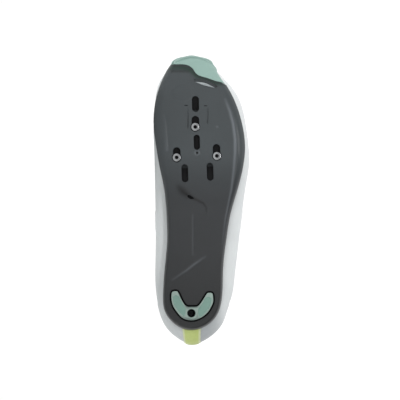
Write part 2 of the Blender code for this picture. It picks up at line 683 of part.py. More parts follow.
def across_throat(turns, low_medial, low_lateral, distance, fullness, steps):
    """Sheet over the throat that follows the upper's walls at a distance, from the lateral to the medial side."""
    rises = upper_grid()[1]
    medial_rises = rises[rises >= low_medial]
    lateral_rises = rises[rises >= low_lateral][::-1]
    medial = upper_offset(-turns[None, :], medial_rises[:, None] + 0 * turns, distance)
    lateral = upper_offset(turns[None, :], lateral_rises[:, None] + 0 * turns, distance)
    start_way = medial[-1] - medial[-2]
    end_way = lateral[1] - lateral[0]
    start_way /= np.linalg.norm(start_way, axis=-1, keepdims=True)
    end_way /= np.linalg.norm(end_way, axis=-1, keepdims=True)
    middle = bridge(medial[-1], lateral[0], start_way, end_way, fullness, steps)
    return np.concatenate((medial, middle, lateral))[::-1]


def build_tongue(home, finish):
    """Padded tongue under the throat's edges, standing out above the collar."""
    turns = upper_grid()[0][:STATIONS]
    turns = turns[(share_of(turns) > .48) & (share_of(turns) < .955)]
    sheet = across_throat(turns, .90, .90, -WALL - 2 * GAP, 0.8, 7)
    # Free end: each row goes on the way it came, the middle ones turning up along the shin, all drawn in a little
    last = sheet[:, :1]
    own = last - sheet[:, 1:2]
    own /= np.linalg.norm(own, axis=-1, keepdims=True)
    middle = last.mean(axis=0, keepdims=True)
    bow = 1 - np.linspace(-1, 1, len(last))[:, None, None] ** 2
    free = []
    for share in (1, .66, .33):
        narrow = 1 - 0.2 * share
        shape = last * (1, narrow, 1) + middle * (0, 1 - narrow, 0)
        way = own * (1 - 0.6 * bow * share) + np.array((-0.36, 0, 0.93)) * 0.6 * bow * share
        free.append(shape + way * TONGUE_STANDS * share * (0.55 + 0.45 * bow))
    # Front end: it goes on under the vamp, sinking away from it, as far as the throat's front edge and beyond
    front = sheet[:, -1:]
    sinking = np.array((math.cos(TONGUE_DIP), 0, -math.sin(TONGUE_DIP)))
    hidden = [front + sinking * TONGUE_FRONT * share for share in (.2, .5, 1)]
    sheet = np.concatenate(free + [sheet] + hidden, axis=1)
    sheet_object("tongue", sheet, home, finish, TONGUE_THICKNESS, False)


def build_straps(home, finish):
    """Closure straps over the throat, fixed on the medial side and fastened down on the lateral side."""
    turns = upper_grid()[0][:STATIONS]
    shares = share_of(turns)
    for name, first, last in (("strap_instep", .53, .68), ("strap_forefoot", .70, .86)):
        inside = turns[(shares > first) & (shares < last)]
        sheet = across_throat(inside, .62, .50, GAP, 0.8, 5)
        sheet_object(name, sheet, home, finish, STRAP_THICKNESS, True)


def build_heel_strip(home, finish):
    """Narrow strip up the middle of the heel."""
    rises = upper_grid()[1]
    rises = rises[(rises > 0.01) & (rises < .93)]
    half_turn = HEEL_STRIP_WIDTH / 2 / (UPPER_WIDTH * (UPPER_REACH(0.1) - UPPER_REACH(-0.1)) / 0.2)
    turns = np.linspace(-half_turn, half_turn, 5)
    sheet = upper_offset(turns[None, :] + 0 * rises[:, None], rises[:, None] + 0 * turns, 2 * GAP)
    sheet_object("heel_strip", sheet, home, finish, HEEL_STRIP_THICKNESS, True)


def solid_points(objects):
    """All corners of the finished solids, and the centre of their volume."""
    graph = bpy.context.evaluated_depsgraph_get()
    corners = []
    moment = np.zeros(3)
    volume = 0.0
    for item in objects:
        shape = item.evaluated_get(graph)
        mesh = shape.to_mesh()
        mesh.calc_loop_triangles()
        place = np.array(item.matrix_world)
        points = np.array([v.co for v in mesh.vertices]) @ place[:3, :3].T + place[:3, 3]
        tris = points[np.array([t.vertices for t in mesh.loop_triangles])]
        parts = np.einsum("ij,ij->i", tris[:, 0], np.cross(tris[:, 1], tris[:, 2])) / 6
        parts *= np.sign(parts.sum())
        moment += (tris.sum(axis=1) / 4 * parts[:, None]).sum(axis=0)
        volume += parts.sum()
        corners.append(points)
        shape.to_mesh_clear()
    return np.concatenate(corners), moment / volume


def lay_down(pieces, cutters):
    """Parent of all pieces, turned so that the shoe rests on its medial side on three real points of it."""
    corners, centre = solid_points(pieces)
    hull = bmesh.new()
    for point in corners:
        hull.verts.new(point)
    bmesh.ops.convex_hull(hull, input=hull.verts)
    best = None
    for face in hull.faces:
        normal = np.array(face.normal)
        if normal @ np.array((0, -1, 0)) < math.cos(LARGEST_ROLL):
            continue
        loop = np.array([v.co for v in face.verts])
        foot = centre + normal * (normal @ (loop[0] - centre))
        sides = np.roll(loop, -1, axis=0) - loop
        inside = np.einsum("ij,j->i", np.cross(sides, foot - loop), normal) / np.linalg.norm(sides, axis=1)
        if best is None or inside.min() > best[0]:
            best = (inside.min(), normal, loop)
    hull.free()
    down = best[1]
    toe = np.array((1, 0, 0)) - down * down[0]
    toe /= np.linalg.norm(toe)
    # World axes in the shoe's frame: the toe points to -X, down is -Z and the sole faces -Y
    turn = np.stack((-toe, np.cross(-down, -toe), -down))
    placed = corners @ turn.T
    low = placed.min(axis=0)
    high = placed.max(axis=0)
    stand = bpy.data.objects.new("shoe", None)
    bpy.context.scene.collection.objects.link(stand)
    matrix = Matrix(turn.tolist()).to_4x4()
    matrix.translation = Vector((-(low[0] + high[0]) / 2, -(low[1] + high[1]) / 2, -low[2]))
    stand.matrix_world = matrix
    for item in pieces + cutters:
        item.parent = stand
    bpy.context.view_layer.update()
    return matrix


def main():
    for item in list(bpy.data.objects):
        bpy.data.objects.remove(item)
    parts = collection("cycling_shoe")
    cutters = collection("cutters")
    carbon = material("carbon_composite", (.065, .075, .078), .42)
    mint = material("mint_rubber", (.34, .46, .42), .55)
    pad_mint = material("heel_pad_rubber", (.22, .32, .28), .6)
    white = material("coated_microfibre", (.72, .75, .75), .5)
    lime = material("lime_film", (.50, .58, .27), .5)
    steel = material("nickel_plated_steel", (.5, .51, .52), .3, 1)
    foam = material("foam_footbed", (.06, .06, .065), .85)
    lining = material("padded_lining", (.10, .10, .11), .8)
    strap = material("coated_strap", (.55, .58, .58), .5)
    build_sole_plate(parts, cutters, carbon)
    build_toe_bumper(parts, cutters, mint)
    build_heel_pad(parts, cutters, pad_mint)
    build_pad_screw(parts, cutters, steel)
    build_cleat_nuts(parts, steel)
    build_upper(parts, white)
    build_insole(parts, foam)
    build_tongue(parts, lining)
    build_straps(parts, strap)
    build_heel_strip(parts, lime)
    bpy.context.view_layer.update()
    lay_down(list(parts.objects), list(cutters.objects))


main()
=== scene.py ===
import json
import math

import bmesh
import bpy
import numpy as np
from mathutils import Matrix, Vector


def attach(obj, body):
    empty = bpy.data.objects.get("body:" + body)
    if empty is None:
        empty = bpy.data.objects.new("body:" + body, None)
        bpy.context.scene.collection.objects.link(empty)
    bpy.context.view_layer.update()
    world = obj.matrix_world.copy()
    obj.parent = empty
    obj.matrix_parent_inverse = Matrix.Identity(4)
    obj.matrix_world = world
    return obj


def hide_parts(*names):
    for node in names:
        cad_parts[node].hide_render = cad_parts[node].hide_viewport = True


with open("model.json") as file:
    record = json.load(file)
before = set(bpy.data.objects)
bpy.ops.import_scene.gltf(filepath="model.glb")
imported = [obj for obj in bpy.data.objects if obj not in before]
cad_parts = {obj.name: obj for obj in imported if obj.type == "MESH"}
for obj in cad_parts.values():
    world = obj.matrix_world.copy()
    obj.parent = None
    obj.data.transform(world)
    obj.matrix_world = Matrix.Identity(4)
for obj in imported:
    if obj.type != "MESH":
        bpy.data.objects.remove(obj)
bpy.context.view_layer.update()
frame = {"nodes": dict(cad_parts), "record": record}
nodes = frame["nodes"]
print("frame loaded:", len(nodes), "nodes")

# The shoe's own frame
# x runs from the heel to the toe, y from the medial to the lateral side, z up from where it would stand.
# Two of the record's mounts are known in both frames, which gives the turn and the place.
shoePlace = {"cleatSeat": (0.1985, -0.0080, 0), "heelTread": (0.04606, -0.018015, 0)}

mounts = {m["name"]: m for m in frame["record"]["mounts"]}
seatPoint = np.array(mounts["cleat_seat"]["pos_m"])
soleLineRow = seatPoint - np.array(mounts["heel_tread"]["pos_m"])
soleLineRow /= np.linalg.norm(soleLineRow)
shoeUp = -np.array(mounts["cleat_seat"]["axis"])
soleLineShoe = np.array(shoePlace["cleatSeat"]) - np.array(shoePlace["heelTread"])
lineTurn = math.atan2(soleLineShoe[1], soleLineShoe[0])
shoeAhead = math.cos(lineTurn) * soleLineRow - math.sin(lineTurn) * np.cross(shoeUp, soleLineRow)
shoeAxes = np.stack((shoeAhead, np.cross(shoeUp, shoeAhead), shoeUp))
shoeOrigin = seatPoint - np.array(shoePlace["cleatSeat"]) @ shoeAxes


def toRow(points):
    # Points in the shoe's frame, moved to the row's frame
    return np.asarray(points, float) @ shoeAxes + shoeOrigin


# Forms shared by the pieces
sole = {
    "length": 0.2725, "ballWidth": 0.0898, "heelOverhang": 0.0150,
    "heelStand": 0.0040, "archRise": 0.0100, "toeSpring": 0.0155,
    "ridgeInset": 0.0085, "edgeRise": 0.0050, "rimRise": 0.0085, "rimWidth": 0.0045, "rimSlope": 0.0025,
    "plateThickness": 0.0045, "gap": 0.0003,
}
soleOutline = {
    "at":      (0, .007, .029, .073, .138, .247, .334, .421, .509, .596, .672, .727, .792, .857, .901,
                .945, .969, .989, .9967, 1),
    "medial":  (.022, .130, .230, .318, .332, .308, .288, .296, .320, .372, .410, .432, .432, .398, .354,
                .292, .246, .196, .118, .025),
    "lateral": (-.022, .088, .198, .286, .320, .332, .364, .408, .486, .551, .570, .551, .501, .419, .342,
                .265, .218, .148, .062, -.025),
}
soleProfile = {
    "at":   (0, .05, .17, .26, .36, .44, .51, .56, .60, .625, .715, .76, .83, .90, .96, 1),
    "heel": (1, 1, 1, .90, .70, .45, .20, .08, .02, 0, 0, 0, 0, 0, 0, 0),
    "arch": (0, 0, .02, .25, .60, .68, .48, .22, .05, 0, 0, 0, 0, 0, 0, 0),
    "toe":  (0, 0, 0, 0, 0, 0, 0, 0, 0, 0, 0, .06, .26, .55, .83, 1),
}
soleRidge = {
    "at":      (0, .10, .30, .45, .60, .66, .85, .94, 1),
    "medial":  (.35, .35, .35, .45, .80, .90, .90, .60, .35),
    "lateral": (.35, .35, .35, .50, .70, 1, 1, .60, .35),
}
upper = {
    "width": 0.0990, "height": 0.0840, "widestHeight": 0.0340, "wall": 0.0020, "lowerShare": 0.3,
    "fullness": 0.93, "featherInset": 0.0012, "seatGap": 0.0006, "bumperWall": 0.0016,
    "columns": 480, "rows": 76, "filmHeight": 0.00045, "liningPad": 0.0034, "rimHeight": 0.0011,
    "flexPitch": 0.034, "flexHeight": 0.00028, "slackHeight": 0.00018,
    "lastingMargin": ((.0045, .0006), (.0064, .0004), (.0066, .0002), (.0064, .0001), (.0020, .0001)),
}
upperOutline = {
    "at":      (0, .017, .038, .079, .121, .183, .224, .307, .362, .500, .569, .638, .690, .742, .811,
                .845, .880, .928, .970, .993, 1),
    "medial":  (.020, .145, .225, .310, .350, .380, .387, .385, .383, .390, .395, .401, .406, .408, .405,
                .395, .380, .325, .215, .095, .025),
    "lateral": (-.020, .125, .207, .297, .340, .397, .413, .440, .458, .505, .535, .562, .554, .535, .500,
                .470, .418, .297, .175, .055, -.025),
    "height":  (.92, .91, .88, .78, .68, .60, .58, .58, .61, .76, .90, 1.01, 1.05, 1.05, 1.02, .98, .95,
                .92, .89, .86, .86),
}
topLine = {
    "at":      (0, .02, .06, .12, .20, .28, .36, .43, .50, .56, .63, .70, .78, .86, .93, .97, 1),
    "along":   (.026, .032, .058, .110, .190, .270, .342, .392, .432, .462, .503, .545, .590, .630, .657,
                .668, .674),
    "middle":  (0, 0, 0, .01, .02, .03, .035, .04, .04, .04, .045, .045, .045, .045, .045, .045, .045),
    "half":    (0, .120, .222, .288, .318, .318, .296, .262, .226, .205, .187, .170, .152, .128, .095,
                .060, 0),
    "height":  (.93, .925, .89, .81, .73, .735, .83, .945, .985, .96, .90, .83, .76, .70, .66, .645, .64),
    "slope":   (88, 88, 86, 84, 80, 76, 66, 56, 48, 44, 40, 37, 33, 28, 23, 20, 18),
}
shoeLength = sole["heelOverhang"] + sole["length"]
tau = 2 * math.pi


def turnOf(share):
    # Angle round the outline for a share of its length: 0 at the heel, a half turn at the toe
    return np.arccos(1 - 2 * np.clip(share, 0, 1))


def shareOf(turn):
    return (1 - np.cos(turn)) / 2


def smoothStep(x, low, high):
    # 0 below low, 1 above high, and the cubic 3s^2 - 2s^3 between them
    s = np.clip((np.asarray(x, float) - low) / (high - low), 0, 1)
    return s * s * (3 - 2 * s)


def hermite(start, end, startWay, endWay, s):
    # Cubic from start to end that leaves along one way and arrives along the other
    return (start * (1 + 2 * s) * (1 - s) ** 2 + end * s * s * (3 - 2 * s)
            + startWay * s * (1 - s) ** 2 - endWay * s * s * (1 - s))


def unit(vectors):
    return vectors / np.linalg.norm(vectors, axis=-1, keepdims=True)


def runOf(line):
    # Length along a line from its first point to each of its points
    return np.concatenate(([0], np.cumsum(np.linalg.norm(np.diff(line, axis=0), axis=-1))))


def circle(steps):
    angles = np.arange(steps) * tau / steps
    return np.stack((np.cos(angles), np.sin(angles)), -1)


def arc(*degrees):
    # Cosine and sine of each angle
    return [(math.cos(math.radians(a)), math.sin(math.radians(a))) for a in degrees]


def closedSpline(knots, values):
    # Cubic spline round a full turn: second derivatives from the tridiagonal system, wrapped at the ends
    x = np.append(knots, knots[0] + tau)
    y = np.append(values, values[0])
    h = np.diff(x)
    n = len(knots)
    i = np.arange(n)
    system = np.zeros((n, n))
    system[i, i - 1] += np.roll(h, 1) / 6
    system[i, i] += (np.roll(h, 1) + h) / 3
    system[i, (i + 1) % n] += h / 6
    rate = np.diff(y) / h
    bend = np.linalg.solve(system, rate - np.roll(rate, 1))
    bend = np.append(bend, bend[0])

    def value(turn):
        t = np.mod(np.asarray(turn, float), tau)
        k = np.clip(np.searchsorted(x, t, side="right") - 1, 0, n - 1)
        a = (x[k + 1] - t) / h[k]
        b = 1 - a
        return a * y[k] + b * y[k + 1] + ((a ** 3 - a) * bend[k] + (b ** 3 - b) * bend[k + 1]) * h[k] ** 2 / 6

    return value


def levelCurve(x, xs, ys):
    # Piecewise cubic through the points with harmonic slopes, so that level stretches stay level
    xs = np.asarray(xs, float)
    ys = np.asarray(ys, float)
    h = np.diff(xs)
    rate = np.diff(ys) / h
    same = rate[1:] * rate[:-1] > 0
    inner = np.where(same, 2 * rate[1:] * rate[:-1] / np.where(same, rate[1:] + rate[:-1], 1), 0)
    slope = np.concatenate(([rate[0]], inner, [rate[-1]]))
    x = np.clip(x, xs[0], xs[-1])
    i = np.clip(np.searchsorted(xs, x, side="right") - 1, 0, len(h) - 1)
    s = (x - xs[i]) / h[i]
    return hermite(ys[i], ys[i + 1], h[i] * slope[i], h[i] * slope[i + 1], s)


def roundTable(table, medial, lateral):
    turns = turnOf(np.array(table["at"], float))
    knots = np.concatenate((turns, tau - turns[-2:0:-1]))
    return closedSpline(knots, np.concatenate((lateral, medial[-2:0:-1])))


soleReach = roundTable(soleOutline, [-m for m in soleOutline["medial"]], soleOutline["lateral"])
upperReach = roundTable(upperOutline, [-m for m in upperOutline["medial"]], upperOutline["lateral"])
widestAt = roundTable(upperOutline, upperOutline["height"], upperOutline["height"])
topAlong, topMiddle, topHeight, topSlope = (
    roundTable(topLine, topLine[k], topLine[k]) for k in ("along", "middle", "height", "slope"))
topHalf = roundTable(topLine, [-h for h in topLine["half"]], topLine["half"])


def underside(along):
    # Height of the sole's underside: heel stand, arch and toe spring, each a share along the sole
    at = (np.asarray(along) - sole["heelOverhang"]) / sole["length"]
    return sum(sole[size] * levelCurve(at, soleProfile["at"], soleProfile[part])
               for size, part in (("heelStand", "heel"), ("archRise", "arch"), ("toeSpring", "toe")))


def soleLine(turn, inset, lift):
    # Line round the sole, moved in towards the middle of the foot and up from the underside
    turn = np.asarray(turn, float)
    along = sole["heelOverhang"] + sole["length"] * shareOf(turn)
    across = sole["ballWidth"] * soleReach(turn)
    other = sole["ballWidth"] * soleReach(-turn)
    heelCentre = sole["heelOverhang"] + 0.3 * sole["ballWidth"]
    toeCentre = shoeLength - 0.4 * sole["ballWidth"]
    inwards = unit(np.stack((np.clip(along, heelCentre, toeCentre) - along, (other - across) / 2), -1))
    along = along + inwards[..., 0] * inset
    across = across + inwards[..., 1] * inset
    return np.stack((along, across, underside(along) + lift), -1)


def toeShare(turn):
    return levelCurve(shareOf(turn), (0, .84, .95, 1), (0, 0, 1, 1))


def upperPoint(turn, rise):
    # Outer face of the upper. rise 0 is the feather line on the sole, lowerShare the widest line, 1 the top
    # line. Below the widest line it goes out and up; above it, a cubic from upright to the top line's slope.
    turn, rise = np.broadcast_arrays(np.asarray(turn, float), np.asarray(rise, float))
    lowerShare = upper["lowerShare"]
    wall = upper["bumperWall"] + sole["gap"]
    share = shareOf(turn)
    seat = sole["rimRise"] + upper["seatGap"]
    feather = soleLine(turn, upper["featherInset"] + wall * toeShare(turn), seat)
    toeLift = sole["toeSpring"] * levelCurve(share, (0, .72, 1), (0, 0, .42))
    wide = np.stack(((shoeLength - wall) * share, upper["width"] * upperReach(turn),
                     upper["widestHeight"] * widestAt(turn) + toeLift), -1)
    top = np.stack((shoeLength * topAlong(turn), upper["width"] * (topMiddle(turn) + topHalf(turn)),
                    upper["height"] * topHeight(turn)), -1)
    low = np.clip(rise / lowerShare, 0, 1)[..., None]
    out = 1 - (1 - low) ** 1.6
    lower = feather + (wide - feather) * np.concatenate((out, out, 0.5 * low + 0.5 * low ** 2), -1)
    s = np.clip((rise - lowerShare) / (1 - lowerShare), 0, 1)[..., None]
    span = top - wide
    reach = np.linalg.norm(span, axis=-1, keepdims=True)
    flat = np.linalg.norm(span[..., :2], axis=-1, keepdims=True)
    slope = np.radians(topSlope(turn))[..., None]
    end = np.concatenate((span[..., :2] / flat * np.cos(slope), np.sin(slope)), -1)
    start = np.zeros_like(end)
    start[..., 2] = 1
    high = hermite(wide, top, reach * upper["fullness"] * start, reach * end, s)
    return np.where(rise[..., None] < lowerShare, lower, high)


def upperOffset(turn, rise, distance):
    # Point off the upper's outer face along its normal, outwards for a positive distance
    step = 1e-4
    turn, rise, distance = np.broadcast_arrays(turn, rise, distance)
    aheadStep = upperPoint(turn + step, rise) - upperPoint(turn - step, rise)
    upStep = upperPoint(turn, np.clip(rise + step, 0, 1)) - upperPoint(turn, np.clip(rise - step, 0, 1))
    return upperPoint(turn, rise) + unit(np.cross(upStep, aheadStep)) * distance[..., None]


# Mesh helpers
def gridFaces(rows, columns, first=0, closed=False):
    # Quads of a grid of points stored row by row, facing rows x columns
    r = np.arange(rows - 1)[:, None]
    c = np.arange(columns if closed else columns - 1)[None, :]
    a = first + r * columns + c
    b = first + r * columns + (c + 1) % columns
    return np.stack((a, a + columns, b + columns, b), -1).reshape(-1, 4).tolist()


def meshFrom(name, grids, caps=(), surface=None, panel=None):
    # One mesh from grids of points (points, closed, material index) and capping polygons (first point, count,
    # index); doubles are merged and all faces turned outwards. surface and panel give each point a vector for
    # its material to read, such as its place on the cloth in metres; surface may be a function of the points.
    points, faces, finish = [], [], []
    for grid, closed, index in grids:
        first = sum(len(p) for p in points)
        new = gridFaces(*grid.shape[:2], first, closed)
        faces += new
        finish += [index] * len(new)
        points.append(grid.reshape(-1, 3))
    for first, count, index in caps:
        faces.append(list(range(first, first + count)))
        finish.append(index)
    mesh = bpy.data.meshes.new(name)
    mesh.from_pydata(toRow(np.concatenate(points)).tolist(), [], faces)
    mesh.polygons.foreach_set("material_index", finish)
    if callable(surface):
        surface = surface(np.concatenate(points))
    for title, values in (("surface", surface), ("panel", panel)):
        if values is not None:
            layer = mesh.attributes.new(title, "FLOAT_VECTOR", "POINT")
            layer.data.foreach_set("vector", np.asarray(values, np.float32).reshape(-1))
    shape = bmesh.new()
    shape.from_mesh(mesh)
    bmesh.ops.remove_doubles(shape, verts=shape.verts, dist=2e-6)
    bmesh.ops.dissolve_degenerate(shape, edges=shape.edges, dist=1e-6)
    bmesh.ops.recalc_face_normals(shape, faces=shape.faces)
    if shape.calc_volume(signed=True) < 0:
        bmesh.ops.reverse_faces(shape, faces=shape.faces)
    shape.to_mesh(mesh)
    shape.free()
    return mesh


def firstOnly(values):
    # Vectors for a material that reads their first value
    return np.stack((values, 0 * values, 0 * values), -1)


def smoothed(mesh, sharp):
    # Smooth shading but for edges of more than so many degrees
    mesh.shade_smooth()
    mesh.set_sharp_from_angle(angle=math.radians(sharp))


def addPiece(name, mesh, finishes, stands=(), sharp=32):
    # A shown piece, riding on the one body, smooth but for its sharp edges
    piece = bpy.data.objects.new(name, mesh)
    bpy.context.scene.collection.objects.link(piece)
    for finish in finishes:
        mesh.materials.append(finish)
    smoothed(mesh, sharp)
    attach(piece, "root")
    if stands:
        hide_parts(*stands)
    return piece


def carve(piece, mesh, operation, finishes=1):
    # Boolean with a mesh, applied at once; the cut faces keep its material indexes
    cutter = bpy.data.objects.new("cutter", mesh)
    bpy.context.scene.collection.objects.link(cutter)
    for k in range(finishes):
        mesh.materials.append(None)
    step = piece.modifiers.new("carve", "BOOLEAN")
    step.operation = operation
    step.object = cutter
    step.solver = "EXACT"
    bpy.context.view_layer.update()
    graph = bpy.context.evaluated_depsgraph_get()
    shape = piece.evaluated_get(graph)
    carved = bpy.data.meshes.new_from_object(shape, preserve_all_data_layers=True, depsgraph=graph)
    old = piece.data
    piece.modifiers.clear()
    carved.name = piece.name
    piece.data = carved
    bpy.data.meshes.remove(old)
    bpy.data.objects.remove(cutter)


def softSheet(near, far):
    # Both faces of a closed sheet between two grids, as grids for meshFrom. Its edges are round like a
    # cushion: half the thickness times sqrt(1 - d^2) within a margin of them.
    rows, columns = near.shape[:2]
    middle = (near + far) / 2
    half = (far - near) / 2
    margin = 0.5 * np.linalg.norm(far - near, axis=-1).mean()

    def edge(line):
        at = np.linspace(0, 1, len(line)) * runOf(line)[-1]
        return np.sqrt(1 - (1 - np.clip(np.minimum(at, at[::-1]) / margin, 0, 1)) ** 2)

    swelling = half * (edge(middle[:, columns // 2])[:, None] * edge(middle[rows // 2])[None, :])[..., None]
    return [(middle + swelling, False, 0), (middle - swelling, False, 0)]


def clustered(count, cluster=0.75):
    # 0..1 with its steps drawn together at both ends, where the edges are round
    t = np.linspace(0, 1, count)
    return (1 - cluster) * t + cluster * (1 - np.cos(math.pi * t)) / 2


# Materials
def colour(code):
    # sRGB hex to the linear light that the shader takes
    channels = [int(code[k:k + 2], 16) / 255 for k in (1, 3, 5)]
    return tuple(c / 12.92 if c <= 0.04045 else ((c + 0.055) / 1.055) ** 2.4 for c in channels) + (1,)


def addNode(tree, kind, settings, links=None):
    # One node with its settings (a property, or else the value of an input) and its incoming links
    node = tree.nodes.new("ShaderNode" + kind)
    for name, value in settings.items():
        if isinstance(name, str) and hasattr(node, name):
            setattr(node, name, value)
        else:
            node.inputs[name].default_value = value
    for name, source in (links or {}).items():
        tree.links.new(source, node.inputs[name])
    return node


def newMaterial(name, settings):
    # Principled shader with plain numbers on its sockets, and the place on the object for its patterns
    made = bpy.data.materials.new(name)
    made.use_nodes = True
    shader = made.node_tree.nodes["Principled BSDF"]
    for socket, value in settings.items():
        shader.inputs[socket].default_value = value
    return made, made.node_tree, shader, addNode(made.node_tree, "TexCoord", {}).outputs["Object"]


def noiseOn(tree, place, size, detail=2.0):
    # Noise with features of about that size in metres
    return addNode(tree, "TexNoise", {"Scale": 1 / size, "Detail": detail}, {"Vector": place}).outputs["Fac"]


def cellsOn(tree, place, size, randomness=1.0):
    node = addNode(tree, "TexVoronoi", {"Scale": 1 / size, "Randomness": randomness}, {"Vector": place})
    return node.outputs["Distance"]


def spread(tree, source, low, high, start=0.0, end=1.0):
    # A value from start to end, mapped to one from low to high
    return addNode(tree, "MapRange", {"From Min": start, "From Max": end, "To Min": low, "To Max": high},
                   {"Value": source}).outputs[0]


def maths(tree, operation, *operands):
    # Math node; each operand is an output or a plain number
    node = addNode(tree, "Math", {"operation": operation})
    for socket, value in zip(node.inputs, operands):
        if isinstance(value, (int, float)):
            socket.default_value = value
        else:
            tree.links.new(value, socket)
    return node.outputs[0]


def askedFor(tree, attribute):
    # The three values that each point of the mesh carries for its material, as outputs X, Y and Z
    vector = addNode(tree, "Attribute", {"attribute_name": attribute}).outputs["Vector"]
    return addNode(tree, "SeparateXYZ", {}, {0: vector}).outputs


def blendColours(tree, factor, first, second):
    # Mix by a factor output; each colour is an output or a hex code
    node = addNode(tree, "Mix", {"data_type": "RGBA"}, {0: factor})
    for socket, value in ((6, first), (7, second)):
        if isinstance(value, str):
            node.inputs[socket].default_value = colour(value)
        else:
            tree.links.new(value, node.inputs[socket])
    return node.outputs[2]


def rampOn(tree, factor, stops):
    # Colour ramp with (position, hex code) stops
    node = addNode(tree, "ValToRGB", {}, {"Fac": factor})
    ramp = node.color_ramp
    while len(ramp.elements) < len(stops):
        ramp.elements.new(0.5)
    for element, (position, code) in zip(ramp.elements, stops):
        element.position = position
        element.color = colour(code)
    return node.outputs["Color"]


def dress(tree, shader, base, rough, bumps):
    # Colour and roughness outputs, where given, and stacked bumps: (height output, depth in metres, strength)
    for output, socket in ((base, "Base Color"), (rough, "Roughness")):
        if output:
            tree.links.new(output, shader.inputs[socket])
    before = None
    for height, depth, strength in bumps:
        links = {"Height": height}
        if before:
            links["Normal"] = before
        before = addNode(tree, "Bump", {"Distance": depth, "Strength": strength}, links).outputs["Normal"]
    tree.links.new(before, shader.inputs["Normal"])


# Sizes of grain and cloud, in metres
grain = {
    "composite": 0.0009, "flow": 0.030, "rubber": 0.0006, "rubberCloud": 0.018, "microfibre": 0.0007,
    "microfibreCloud": 0.025, "knit": 0.0012, "cover": 0.0010, "thread": 0.0006, "screen": 0.0011,
    "film": 0.0008, "steel": 0.0005,
}
# Composite tones: the forefoot, waist and heel tones paint light and shade along the foot, the near-black one
# paints shade in recesses, the pale one paints highlights and the green one paints shade along the bumper
compositeLook = {
    "forefoot": "#3A4043", "waist": "#292C2F", "heel": "#181A1C", "socket": "#08090B", "paintedHighlight": "#6A6F75",
    "tint": "#0A2A20", "forefootX": -0.050, "waistX": 0.002, "heelX": 0.110,
}
pinholes = {"pitch": 0.0045, "rowPitch": 0.0045 * 0.866, "radius": 0.00042, "edge": 0.00060}


def makeComposite():
    # Short-fibre carbon composite, compression moulded with a satin lacquer: dark grey, soft broad highlights,
    # a faint fibre grain and cloudy flow marks; paler at the forefoot and darker towards the heel,
    # which is painted light and shade along the foot
    look = compositeLook
    made, tree, shader, place = newMaterial("satin_carbon_composite", {
        "Roughness": 0.36, "Specular IOR Level": 0.38, "Coat Weight": 0.15, "Coat Roughness": 0.25})
    x = addNode(tree, "SeparateXYZ", {}, {0: place}).outputs["X"]
    middle = (look["waistX"] - look["forefootX"]) / (look["heelX"] - look["forefootX"])
    # Painted light and shade: a ramp from the pale forefoot over the waist to the dark heel
    base = rampOn(tree, spread(tree, x, 0, 1, look["forefootX"], look["heelX"]), [
        (0, look["forefoot"]), (middle, look["waist"]), (1, look["heel"])])
    flow = noiseOn(tree, place, grain["flow"], 3.0)
    shade = addNode(tree, "VectorMath", {"operation": "SCALE"}, {
        0: base, "Scale": spread(tree, flow, 0.88, 1.12)}).outputs[0]
    # The surface attribute asks for green-tinted painted shade (Z), painted shade in hollows (X) and painted
    # highlights (Y)
    asked = askedFor(tree, "surface")
    for axis, tone in (("Z", "tint"), ("X", "socket"), ("Y", "paintedHighlight")):
        shade = blendColours(tree, asked[axis], shade, look[tone])
    # Fibres lie along the foot: the noise is stretched eightfold that way
    stretched = addNode(tree, "Mapping", {"Scale": (0.125, 1, 1)}, {"Vector": place}).outputs[0]
    fibre = noiseOn(tree, stretched, grain["composite"], 4.0)
    dress(tree, shader, shade, spread(tree, fibre, 0.30, 0.42), [(flow, 0.0006, 0.25), (fibre, 0.00005, 0.35)])
    return made


def makeSocketComposite():
    # The same composite inside the slots and recesses: near black, which is painted shade of the recesses,
    # and dull like unlacquered composite
    made, tree, shader, place = newMaterial("near_black_composite_painted_shade", {
        "Base Color": colour(compositeLook["socket"]), "Roughness": 0.7, "Specular IOR Level": 0.2})
    dress(tree, shader, None, None, [(noiseOn(tree, place, grain["composite"]), 0.0001, 0.5)])
    return made


def makeRubber(name, main, worn, roughness, fineness=1.0, fold=None):
    # Moulded thermoplastic rubber: matte, a fine spark-eroded mould grain, and slightly cloudy colour.
    # fold is a darker tone for where the first value of the surface attribute asks for it.
    made, tree, shader, place = newMaterial(name, {"Roughness": roughness, "Specular IOR Level": 0.35})
    base = blendColours(tree, noiseOn(tree, place, grain["rubberCloud"], 3.0), main, worn)
    if fold:
        base = blendColours(tree, askedFor(tree, "surface")["X"], base, fold)
    spots = noiseOn(tree, place, grain["rubber"] / fineness)
    dress(tree, shader, base, spread(tree, spots, roughness - 0.06, roughness + 0.08), [(spots, 0.00008, 0.5)])
    return made


